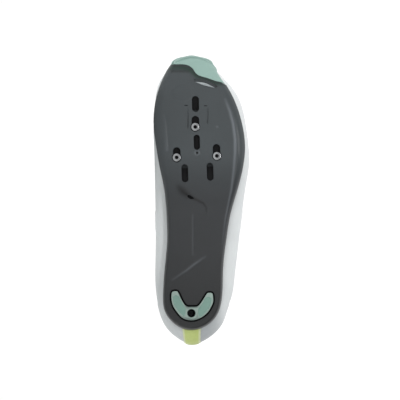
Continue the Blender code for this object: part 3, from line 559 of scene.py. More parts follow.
def makeMicrofibre():
    # Polyurethane-coated microfibre, a synthetic leather: white, low sheen, a fine pebbled grain,
    # with laser pinholes in staggered rows where the third value of the surface attribute asks for them
    made, tree, shader, place = newMaterial("coated_microfibre", {
        "Roughness": 0.5, "Specular IOR Level": 0.4, "Sheen Weight": 0.08, "Sheen Roughness": 0.4})
    surface = askedFor(tree, "surface")
    clouds = noiseOn(tree, place, grain["microfibreCloud"], 3.0)
    pebbles = cellsOn(tree, place, grain["microfibre"])
    rows = maths(tree, "DIVIDE", surface["Y"], pinholes["rowPitch"])
    stagger = maths(tree, "MULTIPLY", maths(tree, "FLOOR", rows), 0.5)
    columns = maths(tree, "ADD", maths(tree, "DIVIDE", surface["X"], pinholes["pitch"]), stagger)
    cells = [maths(tree, "MULTIPLY", maths(tree, "SUBTRACT", maths(tree, "FRACT", cell), 0.5), size)
             for cell, size in ((columns, pinholes["pitch"]), (rows, pinholes["rowPitch"]))]
    spot = addNode(tree, "CombineXYZ", {}, {"X": cells[0], "Y": cells[1]}).outputs[0]
    away = addNode(tree, "VectorMath", {"operation": "LENGTH"}, {0: spot}).outputs["Value"]
    spots = spread(tree, away, 1.0, 0.0, pinholes["radius"], pinholes["edge"])
    hole = maths(tree, "MULTIPLY", spots, surface["Z"])
    white = blendColours(tree, clouds, "#D0D4D5", "#D8DCDD")
    # The panel attribute: first value the grey heel counter, its grey partly painted shade, second the smooth
    # white film overlays
    panel = askedFor(tree, "panel")
    for factor, tone in ((panel["X"], "#999EA1"), (panel["Y"], "#DDE1E2"), (hole, "#4A4D4E")):
        white = blendColours(tree, factor, white, tone)
    dress(tree, shader, white, None, [
        (maths(tree, "SUBTRACT", 1.0, hole), 0.0005, 0.8), (pebbles, 0.00006, 0.35), (clouds, 0.0008, 0.10)])
    return made


def makeKnit(name, main, shadow, cell):
    # Brushed polyester knit lining or woven cover: matte, with sheen and a small regular loop pattern
    made, tree, shader, place = newMaterial(name, {
        "Roughness": 0.85, "Specular IOR Level": 0.2, "Sheen Weight": 0.35, "Sheen Roughness": 0.5})
    loops = cellsOn(tree, place, cell, 0.45)
    fuzz = noiseOn(tree, place, cell / 4, 3.0)
    base = blendColours(tree, loops, main, shadow)
    dress(tree, shader, base, None, [(loops, 0.0004, 0.7), (fuzz, 0.0001, 0.4)])
    return made


def makeFilm():
    # Lime thermoplastic film, welded on: smooth satin with a faint orange peel, and a paler border
    made, tree, shader, place = newMaterial("lime_welded_film", {"Roughness": 0.42, "Specular IOR Level": 0.4})
    peel = noiseOn(tree, place, grain["film"], 1.0)
    lime = blendColours(tree, peel, "#AFBD70", "#B9C57E")
    dress(tree, shader, blendColours(tree, askedFor(tree, "surface")["X"], lime, "#C3CAA0"), None,
          [(peel, 0.00004, 0.5)])
    return made


def makeSteel(name, tint, roughness):
    # Turned steel with a nickel or a black oxide finish, its fine tool marks as grain
    made, tree, shader, place = newMaterial(name, {
        "Base Color": colour(tint), "Metallic": 1.0, "Roughness": roughness})
    marks = noiseOn(tree, place, grain["steel"], 3.0)
    dress(tree, shader, None, spread(tree, marks, roughness - 0.08, roughness + 0.10), [(marks, 0.00003, 0.5)])
    return made


composite = makeComposite()
socketComposite = makeSocketComposite()
# The bumper's fold tone is painted shade along the outer fold of its wall
mintRubber = makeRubber("mint_moulded_rubber", "#8CA9A1", "#92AEA6", 0.55, fold="#64847B")
# The pad's paler tone round its panels is partly painted highlight of the tread's edge
padRubber = makeRubber("mint_tread_rubber_rim", "#84968F", "#90A29B", 0.6, fold="#626F6B")
padPanelRubber = makeRubber("mint_tread_rubber_panel", "#6F8D83", "#7A988E", 0.62)
microfibre = makeMicrofibre()
lining = makeKnit("brushed_knit_lining", "#6E7375", "#3F4446", grain["knit"])
tongueKnit = makeKnit("padded_tongue_knit", "#C3C7C8", "#8D9293", grain["knit"])
footbedCover = makeKnit("footbed_cover_fabric", "#3A3E40", "#222527", grain["cover"])
strapCover = makeRubber("coated_strap_microfibre", "#BCC1C2", "#C4C9CA", 0.5, 0.7)
binding = makeRubber("edge_binding_microfibre", "#A3A9AB", "#ABB1B3", 0.6, 0.8)
limeFilm = makeFilm()
nickelSteel = makeSteel("nickel_plated_steel", "#96989A", 0.28)
blackSteel = makeSteel("black_oxide_steel", "#1A1B1C", 0.5)
threadFinish = makeKnit("polyester_sewing_thread", "#A4A9AB", "#85898B", grain["thread"])
screenFinish = makeKnit("pale_vent_screen", "#B0B6B9", "#80878B", grain["screen"])
print("materials ready")

# Sole plate
plate = {
    "stations": 440, "across": 140,
    "cleatSpan": 0.0398, "cleatToHeel": 0.1863, "cleatOffset": 0.0037, "cleatTurn": math.radians(1.5),
    "slotLength": 0.0155, "slotWidth": 0.0070, "slotDepth": 0.0034, "markHole": 0.0016,
    "padSink": 0.0015, "padMargin": 0.0017, "ventDepth": 0.0022,
    "beadHeight": 0.00042, "beadWidth": 0.0011, "fillColumns": 12,
    # The first two here: strength and width of a painted highlight on a ring round the mark hole
    "paintedRingHighlight": 0.30, "paintedRingFade": 0.0007, "ringRadius": 0.0023, "ringWidth": 0.0006, "ringHeight": 0.0003,
    "hollowDepth": 0.0003, "markDepth": 0.0004,
}
# Radius of the lip at the mouth of each kind of recess, and of its foot
recess = {
    "slot": (0.0005, 0.0003), "pad": (0.0004, 0.0003), "archVent": (0.0003, 0.0001), "toeVent": (0.0003, 0.0003),
    "hole": (0.0004, 0.0002), "line": (0.00012, 0.0001), "tick": (0.00010, 0.0001),
}
# Middle and half axes of the hollow behind the toe, along and across
toeHollow = ((0.2490, -0.0105), (0.0085, 0.0105))
# Steps from the flat underside (1) over the bevel to the edge (0), as shares of the ridge's inset
bevelSteps = (1.35, 1.22, 1.12, 1.06, 1.0, .94, .88, .80, .68, .54, .40, .27, .16, .07, 0)
# Low relief, in millimetres: start, end, width, height (proud of the sole when positive)
reliefLines = (
    ((270.8, -22), (270.4, -4), 1.4, -.50),
    ((129.0, -.4), (89.5, -.4), 1.0, .16),
    ((64.5, -20.5), (87.5, 12), 1.5, .30),
    ((228, -28.6), (190, -25.4), 1.3, .40),
    ((215.8, 23.8), (215.8, 23.9), .9, .40),
)
# The scoop in the arch: a trough along this line, with its half width and depth, in millimetres
scoopLine = (
    (155.6, -14.6, 2.6, .0), (153.4, -11.6, 3.2, .25), (150.0, -7.2, 2.8, .5), (146.5, -2.6, 1.9, .9),
    (143.6, 4.0, 1.3, .5), (140.6, 10.0, 1.2, .35), (136.6, 13.2, 1.2, .2), (128.0, 13.9, 1.2, .0),
)
# Painted shade in the arch scoop and along the step behind the toe: lines with their half width in
# millimetres and how far they darken
shadeLines = (
    ((156.2, -14.0, 3.0, .60), (152.4, -10.2, 3.6, .95), (149.2, -6.2, 3.0, 1), (146.0, -1.6, 1.8, 1),
     (143.4, 4.0, 1.4, .90), (140.6, 9.8, 1.3, .85), (136.6, 13.0, 1.2, .6), (129.0, 13.8, 1.2, .0)),
    ((270.9, -21.5, 1.5, .45), (270.9, -5, 1.5, .45)),
)
# Painted highlights, in the same way: pale lines on the lateral edge of the tread, the crease, the rib and a pip
paintedHighlightLines = (
    ((243, 31.8, 1.3, .2), (230.7, 36.6, 1.3, .65), (218.8, 39.6, 1.3, .80), (203, 41.6, 1.3, .80),
     (190, 41.4, 1.2, .70), (173.3, 40.1, 1.2, .50), (153.5, 37.6, 1.1, .40), (124.7, 31.7, 1.0, .28),
     (86, 27.2, 1.0, .0)),
    ((64.5, -20.5, 1.0, .10), (74, -6.5, 1.2, .28), (80, 1, 1.2, .34), (87.5, 12, 1.2, .12)),
    ((129.0, -.4, .9, .10), (100, -.4, .9, .14), (89.5, -.4, .9, .10)),
    ((228, -28.6, 1.2, .05), (205, -26.8, 1.4, .12), (193, -25.6, 1.4, .25)),
    ((215.8, 23.7, 1.0, .35), (215.8, 23.9, 1.0, .35)),
)
# Painted shade of the plate along the bumper, tinted green
paintedGreenShadeLines = (
    ((275.0, -27, 2.8, .60), (275.0, -12, 3.2, .85), (273.6, -5.5, 3.0, .90), (270.6, -1.0, 2.4, .90),
     (266.6, 2.5, 2.0, .95), (264.6, 6.5, 2.0, 1), (262.2, 14.5, 2.2, 1), (259.6, 21.5, 2.4, 1),
     (258.2, 27.5, 1.8, .60), (257.0, 33.0, 1.4, .1)),
)
# Outer fold of the bumper's wall, where its mint is darkened with painted shade
foldLine = ((280.5, -17.0, .8, .4), (283.2, -11.0, 1.1, .8), (285.2, -3.2, 1.1, .9), (284.6, 5.4, 1.1, .9),
            (282.0, 12.1, .9, .6), (278.4, 17.6, .7, .2))
slots = {
    "front": (1.309, 0, 1.02, .99), "frontNut": (.824, -.012, .96, 1.06), "centre": (.357, .011, .96, .87),
    "medialNut": (.057, -.494, .97, 1.06), "lateralNut": (.111, .494, .97, 1.06),
    "medialRear": (-.402, -.307, 1.15, .92), "lateralRear": (-.382, .319, 1.15, .95),
}
markAt = (.096, .011)
nuts = {"front": (.739, -.018), "medial": (-.005, -.5), "lateral": (.005, .5)}
nut = {"diameter": 0.0080, "bore": 0.0034, "sunk": 0.0008, "steps": 64}
# Alignment marks for a cleat, in millimetres: middle along and across, length along, width across
alignmentLines = ((224.7, -5.0, 19.8, .9), (227.0, 14.4, 15.8, .9))
alignmentTicks = ((237.0, -6.9, .7, 3.4), (236.6, 12.4, .7, 3.2))
# Outlines on the sole, in millimetres along and across
padOutline = (
    (38.5, 4.0), (41.1, 7.1), (46.1, 10.5), (50.3, 13.1), (51.8, 14.5), (51.8, 18.2), (49.5, 19.5), (43.4,
    19.7),
    (38.5, 17.9), (32.6, 14.2), (28.0, 8.5), (25.2, 1.6), (25.2, -4.8), (27.3, -10.3), (32.2, -15.1),
    (38.5, -19.3),
    (44.5, -21.1), (49.6, -21.3), (53.0, -20.2), (53.5, -16.2), (51.6, -14.5), (46.5, -12.1), (41.3, -9.2),
    (38.5, -6.1), (38.2, -1.2),
)
padPanels = (
    ((48.5, -18.9), (48.5, -14.6), (43.0, -11.8), (38.3, -8.9), (36.1, -7.6), (29.6, -8.6), (32.6, -12.6),
     (38.0, -16.8), (43.0, -18.9)),
    ((47.0, 12.8), (47.0, 17.2), (42.3, 17.6), (37.3, 15.6), (32.4, 11.6), (28.9, 6.6), (35.6, 5.4), (38.3,
    7.2),
     (42.3, 10.2)),
)
toeSeam = (
    (.110, -.420), (.108, -.260), (.107, -.130), (.118, -.060), (.152, -.010), (.208, .030), (.236, .075),
    (.262, .160), (.292, .245), (.308, .315), (.338, .378), (.360, .520),
)
toeVent = (
    (263.2, 1.0), (263.3, 7.9), (261.0, 14.9), (258.0, 21.3), (256.0, 24.0), (254.4, 21.2), (256.2, 11.9),
    (258.9, 5.0), (260.9, 1.0),
)
archVent = ((148.4, -5.6), (148.0, -2.6), (145.2, .8), (144.7, -2.6), (146.4, -5.4))


def smoothLoop(points, steps, closed=True):
    # Catmull-Rom curve through its points
    points = np.array(points, float)
    if not closed:
        points = np.concatenate((2 * points[:1] - points[1:2], points, 2 * points[-1:] - points[-2:-1]))
    before, after, beyond = (np.roll(points, k, axis=0) for k in (1, -1, -2))
    s = (np.arange(steps) / steps)[None, :, None]
    p, a, b, c = (q[:, None, :] for q in (before, points, after, beyond))
    curve = 0.5 * (2 * a + (b - p) * s + (2 * p - 5 * a + 4 * b - c) * s ** 2
                   + (3 * a - p - 3 * b + c) * s ** 3)
    if not closed:
        return np.concatenate((curve[1:-2].reshape(-1, 2), points[-2:-1]))
    return curve.reshape(-1, 2)


def grown(loop, margin):
    # Closed outline moved outwards along its normals
    ahead = np.roll(loop, -1, axis=0) - np.roll(loop, 1, axis=0)
    area = np.sum(loop[:, 0] * np.roll(loop[:, 1], -1) - np.roll(loop[:, 0], -1) * loop[:, 1])
    side = np.stack((ahead[:, 1], -ahead[:, 0]), -1) * (1 if area > 0 else -1)
    return loop + side / np.linalg.norm(side, axis=1, keepdims=True) * margin


def stadium(length, width, steps=14):
    # Slot outline with round ends, along the first axis
    radius = min(length, width) / 2
    angles = np.linspace(-math.pi / 2, math.pi / 2, steps)
    end = np.stack((np.cos(angles), np.sin(angles)), -1) * radius
    if length >= width:
        end = end + ((length - width) / 2, 0)
        return np.concatenate((end, -end))
    turned = np.stack((-end[:, 1], end[:, 0]), -1) + (0, (width - length) / 2)
    return np.concatenate((turned, -turned))


def disc(diameter, steps=40):
    return circle(steps) * diameter / 2


def onCleat(along, across):
    # Place on the sole from a place on the cleat's bolt pattern, given in cleat spans
    turn = plate["cleatTurn"]
    x = along * math.cos(turn) + across * math.sin(turn)
    y = across * math.cos(turn) - along * math.sin(turn)
    return np.array((x, y)) * plate["cleatSpan"] + (plate["cleatToHeel"], plate["cleatOffset"])


def fromLine(along, across, start, end):
    # How far along the line from start to end each place lies (0 to 1 beside it), and its squared distance
    step = end - start
    t = ((along - start[0]) * step[0] + (across - start[1]) * step[1]) / (step @ step)
    near = np.clip(t, 0, 1)
    return t, (along - start[0] - near * step[0]) ** 2 + (across - start[1] - near * step[1]) ** 2


def alongLine(line, along, across):
    # Largest value of strength times exp(-(d / width)^2) near a line of (along, across, width, strength), the
    # first three of them in millimetres; width and strength are blended from point to point
    most = np.zeros(np.broadcast(along, across).shape)
    line = np.array(line) * (.001, .001, .001, 1)
    for a, b in zip(line[:-1], line[1:]):
        t, d2 = fromLine(along, across, a[:2], b[:2])
        near = np.clip(t, 0, 1)
        width, strength = a[2] + near * (b[2] - a[2]), a[3] + near * (b[3] - a[3])
        most = np.maximum(most, strength * np.exp(-d2 / width ** 2))
    return most


def strongest(lines, along, across):
    return np.maximum.reduce([alongLine(line, along, across) for line in lines])


def markRing(along, across, width):
    # 1 on the ring round the mark hole, falling off to both sides
    centre = onCleat(*markAt)
    away = np.hypot(along - centre[0], across - centre[1]) - plate["ringRadius"]
    return np.exp(-(away / width) ** 2)


def plateShade(points):
    # What the composite reads: painted shade in the hollows and along the seam with the bumper, painted
    # highlights on the ridges and round the mark hole, and green-tinted painted shade along the bumper
    seam = [((shoeLength - back * sole["ballWidth"]) * 1000 - 1.1, across * sole["ballWidth"] * 1000, 1.1, .45)
            for back, across in toeSeam]
    x, y = points[:, 0], points[:, 1]
    paintedHighlight = np.maximum(strongest(paintedHighlightLines, x, y), plate["paintedRingHighlight"] * markRing(x, y, plate["paintedRingFade"]))
    values = (strongest(shadeLines + (seam,), x, y), paintedHighlight, strongest(paintedGreenShadeLines, x, y))
    below = points[:, 2] < underside(x) + sole["edgeRise"]
    return np.stack(values, -1) * below[:, None]


def relief(along, across):
    # Soft troughs and ridges of the moulding: each falls off as exp(-(d / width)^2) from its line,
    # and its strength fades in over the first and out over the last fifth of that line. Up is into the sole.
    lift = 0.001 * alongLine(scoopLine, along, across)
    for start, end, width, height in reliefLines:
        a, b = np.array(start) * 0.001, np.array(end) * 0.001
        t, d2 = fromLine(along, across, a, b)
        fade = 1 if np.linalg.norm(b - a) < 0.001 else smoothStep(t, -.05, .2) * (1 - smoothStep(t, .8, 1.05))
        lift = lift - height * 0.001 * fade * np.exp(-d2 / (width * 0.001) ** 2)
    # A faint hollow with a soft round edge behind the medial side of the toe, and a ring round the mark hole
    middle, size = toeHollow
    away = ((along - middle[0]) / size[0]) ** 2 + ((across - middle[1]) / size[1]) ** 2
    hollow = plate["hollowDepth"] * (1 - smoothStep(away, 0.75, 1.1))
    return lift + hollow - plate["ringHeight"] * markRing(along, across, plate["ringWidth"])


def soleBody(name, stations, across, surface, toeInset=0.0):
    # Whole sole as one closed cup: fill between the two sides, the bevel, the side, the rim and the floor
    # inside. The stations are spaced evenly by the mean length of the two sides' outlines.
    fine = np.linspace(0, math.pi, 4001)
    evenly = sum(runOf(soleLine(side * fine, 0, 0)) for side in (1, -1))
    half = np.interp(np.linspace(0, evenly[-1], stations + 1), evenly, fine)
    turns = np.concatenate((half, tau - half[-2:0:-1]))
    share = shareOf(turns)
    lateral, medial = (levelCurve(share, soleRidge["at"], soleRidge[side]) for side in ("lateral", "medial"))
    isLateral = turns <= math.pi
    ridge = sole["ridgeInset"] * np.where(isLateral, lateral, medial)
    drawnIn = toeInset * toeShare(turns)
    # The ridge has a fine bead on the lateral side of the ball, which fades out along the foot
    bead = plate["beadHeight"] * smoothStep(share, .48, .60) * (1 - smoothStep(share, .78, .86)) * isLateral
    rings = []
    for k in bevelSteps:
        e = max(0.0, 1 - k)
        bevel = sole["edgeRise"] * (0.36 * e + 0.64 * e ** 3)
        proud = bead * np.exp(-((k - 1) * ridge / plate["beadWidth"]) ** 2)
        ring = soleLine(turns, ridge * k + drawnIn, bevel - proud)
        ring[:, 2] += relief(ring[:, 0], ring[:, 1])
        rings.append(ring)
    edge, rim = sole["edgeRise"], sole["rimRise"]
    floorInset = sole["rimWidth"] + sole["rimSlope"]
    side = ((-.0001, edge + .0008), (.0000, edge + .0017), (.0004, rim - .0008), (.0008, rim - .0003),
            (.0014, rim), (sole["rimWidth"], rim), (floorInset, sole["plateThickness"]))
    rings += [soleLine(turns, inset + drawnIn, lift) for inset, lift in side]
    grids = [(np.stack(rings), True, 0)]
    for ring, extra in ((rings[0], 0), (rings[-1], sole["plateThickness"])):
        lateralSide = ring[:stations + 1]
        medialSide = np.concatenate((ring[:1], ring[:stations - 1:-1]))
        columns = across if extra == 0 else plate["fillColumns"]
        part = np.linspace(0, 1, columns + 1)[None, :, None]
        fill = lateralSide[:, None, :] * (1 - part) + medialSide[:, None, :] * part
        inner = fill[:, 1:-1]
        inner[..., 2] = underside(inner[..., 0]) + extra
        if extra == 0:
            inner[..., 2] += relief(inner[..., 0], inner[..., 1])
        grids.append((fill, False, 0))
    return meshFrom(name, grids, surface=surface)


def pocket(loop, depth, mouth, foot):
    # Cutter for a recess: a round lip that leaves the surface at 35 degrees, an upright wall and a rounded
    # foot. Near the surface it follows the underside, and its floor is level.
    lip = [(mouth * (1 - sine), mouth * (1 - cosine)) for cosine, sine in arc(35, 55, 75, 90)]
    outside = 0.0008
    first = (lip[0][0] + (lip[0][1] + outside) / math.tan(math.radians(35)), -outside)
    feet = [(foot * (cosine - 1), depth - foot * (1 - sine)) for cosine, sine in arc(0, 35, 65, 90)]
    level = underside(loop[:, 0]).mean() + relief(loop[:, 0].mean(), loop[:, 1].mean())
    rings = []
    for grow, lift in [first] + lip + feet:
        ring = grown(loop, grow)
        following = underside(ring[:, 0]) + relief(ring[:, 0], ring[:, 1])
        q = smoothStep(lift, mouth, depth)
        rings.append(np.column_stack((ring, (1 - q) * following + q * level + lift)))
    return np.stack(rings)


def pocketMesh(pockets, indexes):
    # All the pockets of one carving, which don't touch each other; the first four rings take the first index,
    # the lacquered composite, and the deeper rings the second
    grids, caps, first = [], [], 0
    for rings in pockets:
        count = rings.shape[1]
        grids += [(rings[:4], True, indexes[0]), (rings[3:], True, indexes[1])]
        caps += [(first, count, indexes[0]), (first + len(rings) * count, count, indexes[1])]
        first += (len(rings) + 1) * count
    return meshFrom("pockets", grids, caps)


def outline(points, steps):
    # Smooth closed outline from points in millimetres
    return smoothLoop(np.array(points) * 0.001, steps)


def raised(loop, profile):
    # Rings of an outline: each grown outwards by a margin, at a height
    return np.stack([np.column_stack((grown(loop, grow), np.full(len(loop), z))) for grow, z in profile])


def toeRegion(shift):
    # Upright block over everything ahead of the seam between the plate and the bumper
    seam = smoothLoop([(shoeLength - back * sole["ballWidth"] + shift, across * sole["ballWidth"])
                       for back, across in toeSeam], 8, closed=False)
    beyond = shoeLength + 0.2 * sole["ballWidth"]
    loop = np.concatenate((seam, [(beyond, seam[-1][1]), (beyond, seam[0][1])]))
    rings = np.stack([np.column_stack((loop, np.full(len(loop), z))) for z in (-0.01, upper["height"])])
    return meshFrom("toe_region", [(rings, True, 0)], [(0, len(loop), 0), (len(loop), len(loop), 0)])


def markPockets(marks, kind):
    # Shallow recesses of the alignment marks
    marks = np.array(marks) * 0.001
    return [pocket(stadium(length, width, 7) + (along, across), plate["markDepth"], *recess[kind])
            for along, across, length, width in marks]


pad = {"screwAt": (.0319, -.0016), "screwHole": 0.0082, "edge": 0.0007, "steps": 7, "panelDepth": 0.00035}


def makePlate():
    body = soleBody("sole_plate", plate["stations"], plate["across"], plateShade)
    piece = addPiece("solePlate", body, [composite, socketComposite], ["sole_plate"])
    cosine, sine = math.cos(plate["cleatTurn"]), math.sin(plate["cleatTurn"])
    cleatWay = np.array(((cosine, -sine), (sine, cosine)))
    deep = []
    for along, across, length, width in slots.values():
        slot = stadium(plate["slotLength"] * length, plate["slotWidth"] * width) @ cleatWay
        loop = grown(slot + onCleat(along, across), -0.0001)
        deep.append(pocket(loop, plate["slotDepth"], *recess["slot"]))
    padSeat = grown(outline(padOutline, 5), plate["padMargin"] - 0.0002)
    deep.append(pocket(padSeat, plate["padSink"] + 0.0010, *recess["pad"]))
    deep.append(pocket(outline(archVent, 6), plate["ventDepth"], *recess["archVent"]))
    vent = pocket(outline(toeVent, 6), plate["ventDepth"], *recess["toeVent"])
    seats = markPockets(alignmentTicks, "tick")
    for along, across in nuts.values():
        loop = disc(nut["diameter"] + 4 * sole["gap"]) + onCleat(along, across)
        seats.append(pocket(loop, plate["slotDepth"] - 0.00012, *recess["hole"]))
    seats.append(pocket(disc(plate["markHole"], 28) + onCleat(*markAt), 0.0014, *recess["hole"]))
    # Index 1 is the near-black composite: painted shade in the slots, pad seat, arch vent, ticks, nut seats and
    # hole
    for pockets, indexes in ((deep, (0, 1)), ([vent], (0, 0)), (markPockets(alignmentLines, "line"), (0, 0)),
                             (seats, (0, 1))):
        carve(piece, pocketMesh(pockets, indexes), "DIFFERENCE", 2)
    carve(piece, toeRegion(-sole["gap"] / 2), "DIFFERENCE", 2)
    smoothed(piece.data, 26)


makePlate()
print("sole plate carved")


# Toe bumper
bumper = {"stations": 300, "across": 80, "toeInset": 0.0017, "height": 0.0150, "columns": 90, "rows": 26,
          "from": .935, "to": .966, "corner": 0.0011, "cornerAt": .981, "cornerWidth": .010}


def makeBumper():
    # The toe of the sole, and a wall that follows the upper at a small distance and thins out to a round edge
    def foldShade(points):
        # Painted shade along the outer fold, only on the low part of the wall
        x, y, z = points.T
        return firstOnly(alongLine(foldLine, x, y) * (1 - smoothStep(z - underside(x), .004, .008)))

    body = soleBody("toe_bumper", bumper["stations"], bumper["across"], foldShade, bumper["toeInset"])
    piece = addPiece("toeBumper", body, [mintRubber], ["toe_bumper"])
    carve(piece, toeRegion(sole["gap"] / 2), "INTERSECT")
    first, last = turnOf(bumper["from"]), tau - turnOf(bumper["to"])
    turns = first + (last - first) * clustered(bumper["columns"], .9)
    share = shareOf(turns)
    taper = np.where(turns < math.pi, 0.06 + 0.94 * smoothStep(share, .936, .972),
                     0.6 + 0.4 * smoothStep(share, .960, .972))
    feather = upperPoint(turns, 0.0)
    reach = upperPoint(turns, upper["lowerShare"])[:, 2] - feather[:, 2]
    high = np.clip(taper * bumper["height"] / reach * upper["lowerShare"], 0.04, 0.55)
    rises = 0.02 + clustered(bumper["rows"], .9)[:, None] * (high[None, :] - 0.02)
    inner = upperOffset(turns[None, :], rises, upper["seatGap"])
    # The wall is thicker at both corners of the toe, which makes it squarer
    wall = upper["bumperWall"] * np.minimum(1, 0.1 + taper)
    wall = wall + bumper["corner"] * np.exp(-((share - bumper["cornerAt"]) / bumper["cornerWidth"]) ** 2)
    outer = upperOffset(turns[None, :], rises, upper["seatGap"] + wall[None, :])
    foot = (feather[:, 2] - sole["rimRise"] / 3)[None, :, None]
    sheets = []
    for sheet in (inner, outer):
        low = np.concatenate((sheet[:1, :, :2], foot), -1)
        halfway = low * (1, 1, 0) + (low + sheet[:1])[..., 2:] * (0, 0, .5)
        sheets.append(np.concatenate((low, halfway, sheet)))
    carve(piece, meshFrom("bumper_wall", softSheet(*sheets), surface=foldShade), "UNION")
    smoothed(piece.data, 30)


makeBumper()
print("toe bumper made")


# Heel pad, nuts and screw
def lathe(profile, steps):
    # Closed (radius, height) profile turned round an upright axis
    profile = np.array(profile, float)
    height = np.broadcast_to(profile[:, None, 1:], (len(profile), steps, 1))
    return np.concatenate((profile[:, None, :1] * circle(steps)[None], height), -1)


def padShade(points):
    # The rubber is greyer round the screw
    away = np.hypot(points[:, 0] - pad["screwAt"][0], points[:, 1] - pad["screwAt"][1])
    return firstOnly(1 - smoothStep(away, .0065, .0120))


def makePad():
    # Outline raised in rings: upright side, rounded tread edge and a flat tread, with a round screw hole
    loop = outline(padOutline, pad["steps"])
    top = sole["heelStand"] + plate["padSink"] - sole["gap"] - 0.0005
    edge = pad["edge"]
    profile = [(0, top), (0, edge)]
    profile += [(edge * (cosine - 1), edge * (1 - sine)) for cosine, sine in arc(25, 50, 70, 90)]
    count = len(loop)
    caps = [(0, count, 0), ((len(profile) - 1) * count, count, 0)]
    mesh = meshFrom("heel_pad", [(raised(loop, profile), True, 0)], caps, surface=padShade)
    piece = addPiece("heelPad", mesh, [padRubber, padPanelRubber], ["heel_pad"])
    x, y = pad["screwAt"]
    radius = pad["screwHole"] / 2
    bore = ((0, -.002), (radius + .0024, -.002), (radius, .0004), (radius, .02), (0, .02))
    hole = lathe(bore, 48) + (x, y, 0)
    carve(piece, meshFrom("hole", [(hole, True, 0)]), "DIFFERENCE")
    # A shallow panel in each arm, darker than the rim round it, whose paleness is partly painted highlight of
    # the tread's edge
    grids, caps, first = [], [], 0
    for points in padPanels:
        panel = outline(points, 6)
        grids.append((raised(panel, ((.0004, -.001), (.0004, 0), (0, pad["panelDepth"]))), True, 1))
        caps += [(first, len(panel), 1), (first + 2 * len(panel), len(panel), 1)]
        first += 3 * len(panel)
    carve(piece, meshFrom("panels", grids, caps), "DIFFERENCE", 2)
    smoothed(piece.data, 28)


def makeNuts():
    # Turned nut with chamfered rims and the first turns of its thread as fine grooves
    outer, bore = nut["diameter"] / 2, nut["bore"] / 2
    thickness = plate["slotDepth"] - nut["sunk"] - 1.5 * sole["gap"]
    chamfer = nut["sunk"] / 2
    thread = [(bore + (.00022 if k % 2 else 0), chamfer + .0002 + .0002 * k) for k in range(8)]
    for name, (along, across) in nuts.items():
        x, y = onCleat(along, across)
        base = float(underside(x)) + nut["sunk"]
        piece = "cleat_nut_" + name
        profile = [(bore, thickness), (outer, thickness), (outer, chamfer),
                   (outer - chamfer * .3, chamfer * .3), (outer - chamfer, 0), (bore + chamfer, 0),
                   (bore + chamfer * .3, chamfer * .5)]
        ring = lathe(profile + thread + [(bore, thickness)], nut["steps"]) + (x, y, base)
        mesh = meshFrom("cleat_nut", [(ring, True, 0)])
        addPiece("cleatNut" + name.capitalize(), mesh, [nickelSteel], [piece])


makePad()
makeNuts()
# Black oxide screw in the heel pad; its near black is also painted shade for the deep screw hole
nodes["heel_pad_screw"].data.materials.clear()
nodes["heel_pad_screw"].data.materials.append(blackSteel)
print("heel pad and hardware made")


# Footbed
footbed = {"thickness": 0.0035, "rows": 200, "columns": 40, "heelHollow": 0.0010, "ballHollow": 0.0006}


def makeFootbed():
    # Foam sheet in the cup of the plate with a soft edge, pressed in a little under the heel and the ball
    half = np.linspace(0, math.pi, footbed["rows"])
    inset = sole["rimWidth"] + sole["rimSlope"] + sole["gap"]
    lateral, medial = (soleLine(side * half, inset, 0)[:, None, :] for side in (1, -1))
    part = clustered(footbed["columns"], .6)[None, :, None]
    sheet = lateral * (1 - part) + medial * part
    along, across = sheet[..., 0], sheet[..., 1]
    heel = np.exp(-((along - .045) / .030) ** 2 - (across / .020) ** 2)
    ball = np.exp(-((along - .200) / .035) ** 2 - (across / .030) ** 2)
    floor = underside(along) + sole["plateThickness"] + sole["gap"]
    top = floor + footbed["thickness"] - footbed["heelHollow"] * heel - footbed["ballHollow"] * ball
    near, far = (np.stack((along, across, height), -1) for height in (floor, top))
    mesh = meshFrom("footbed", softSheet(near, far))
    addPiece("footbed", mesh, [footbedCover], ["insole"], sharp=60)


makeFootbed()


# Toe vent screen
ventScreen = {"start": (0.2604, 0.0020), "end": (0.2546, 0.0212), "bow": 0.0004, "half": 0.0013,
              "crown": 0.0006, "near": 0.0004, "far": 0.0030, "rows": 40, "columns": 9}


def makeVentScreen():
    # Pale mesh screen that shows along the heel side of the toe vent: a thin lens on the vent's own floor
    rows = ventScreen["rows"]
    s = np.linspace(0, 1, rows)[:, None]
    t = np.linspace(-1, 1, ventScreen["columns"])[None, :]
    start = np.array(ventScreen["start"])
    centre = start + (ventScreen["end"] - start) * s + np.sin(math.pi * s) * (ventScreen["bow"], 0)
    thin = np.sin(math.pi * clustered(rows, .6))[:, None] ** 0.7
    along = centre[:, :1] + ventScreen["half"] * thin * t
    across = centre[:, 1:] + 0 * t
    surface = underside(along)
    crown = ventScreen["crown"] * (1 - t ** 2) * (thin / thin.max())
    near = np.stack((along, across, surface + ventScreen["near"] - crown), -1)
    far = np.stack((along, across, surface + ventScreen["far"]), -1)
    sides = [np.stack((near[:, k], far[:, k])) for k in (0, -1)]
    mesh = meshFrom("vent_screen", [(grid, False, 0) for grid in [near, far] + sides])
    addPiece("toeVentScreen", mesh, [screenFinish])


makeVentScreen()


# Upper
def filmShare(turn, rise):
    # Welded film overlays: rand along the sole, toe cap, heel counter, throat edge and a band at the arch
    share = shareOf(turn)
    rand = 1 - smoothStep(rise, .17, .20)
    toeCap = smoothStep(share + .05 * rise, .905, .913)
    counter = 1 - smoothStep(share + .10 * rise, .165, .176)
    stay = smoothStep(rise, .86, .88) * smoothStep(share, .42, .44)
    slant = np.abs(share - .40 - .10 * rise)
    band = (1 - smoothStep(slant, .030, .036)) * (1 - smoothStep(rise, .90, .94))
    return np.max(np.broadcast_arrays(rand, toeCap, counter, stay, band), axis=0)


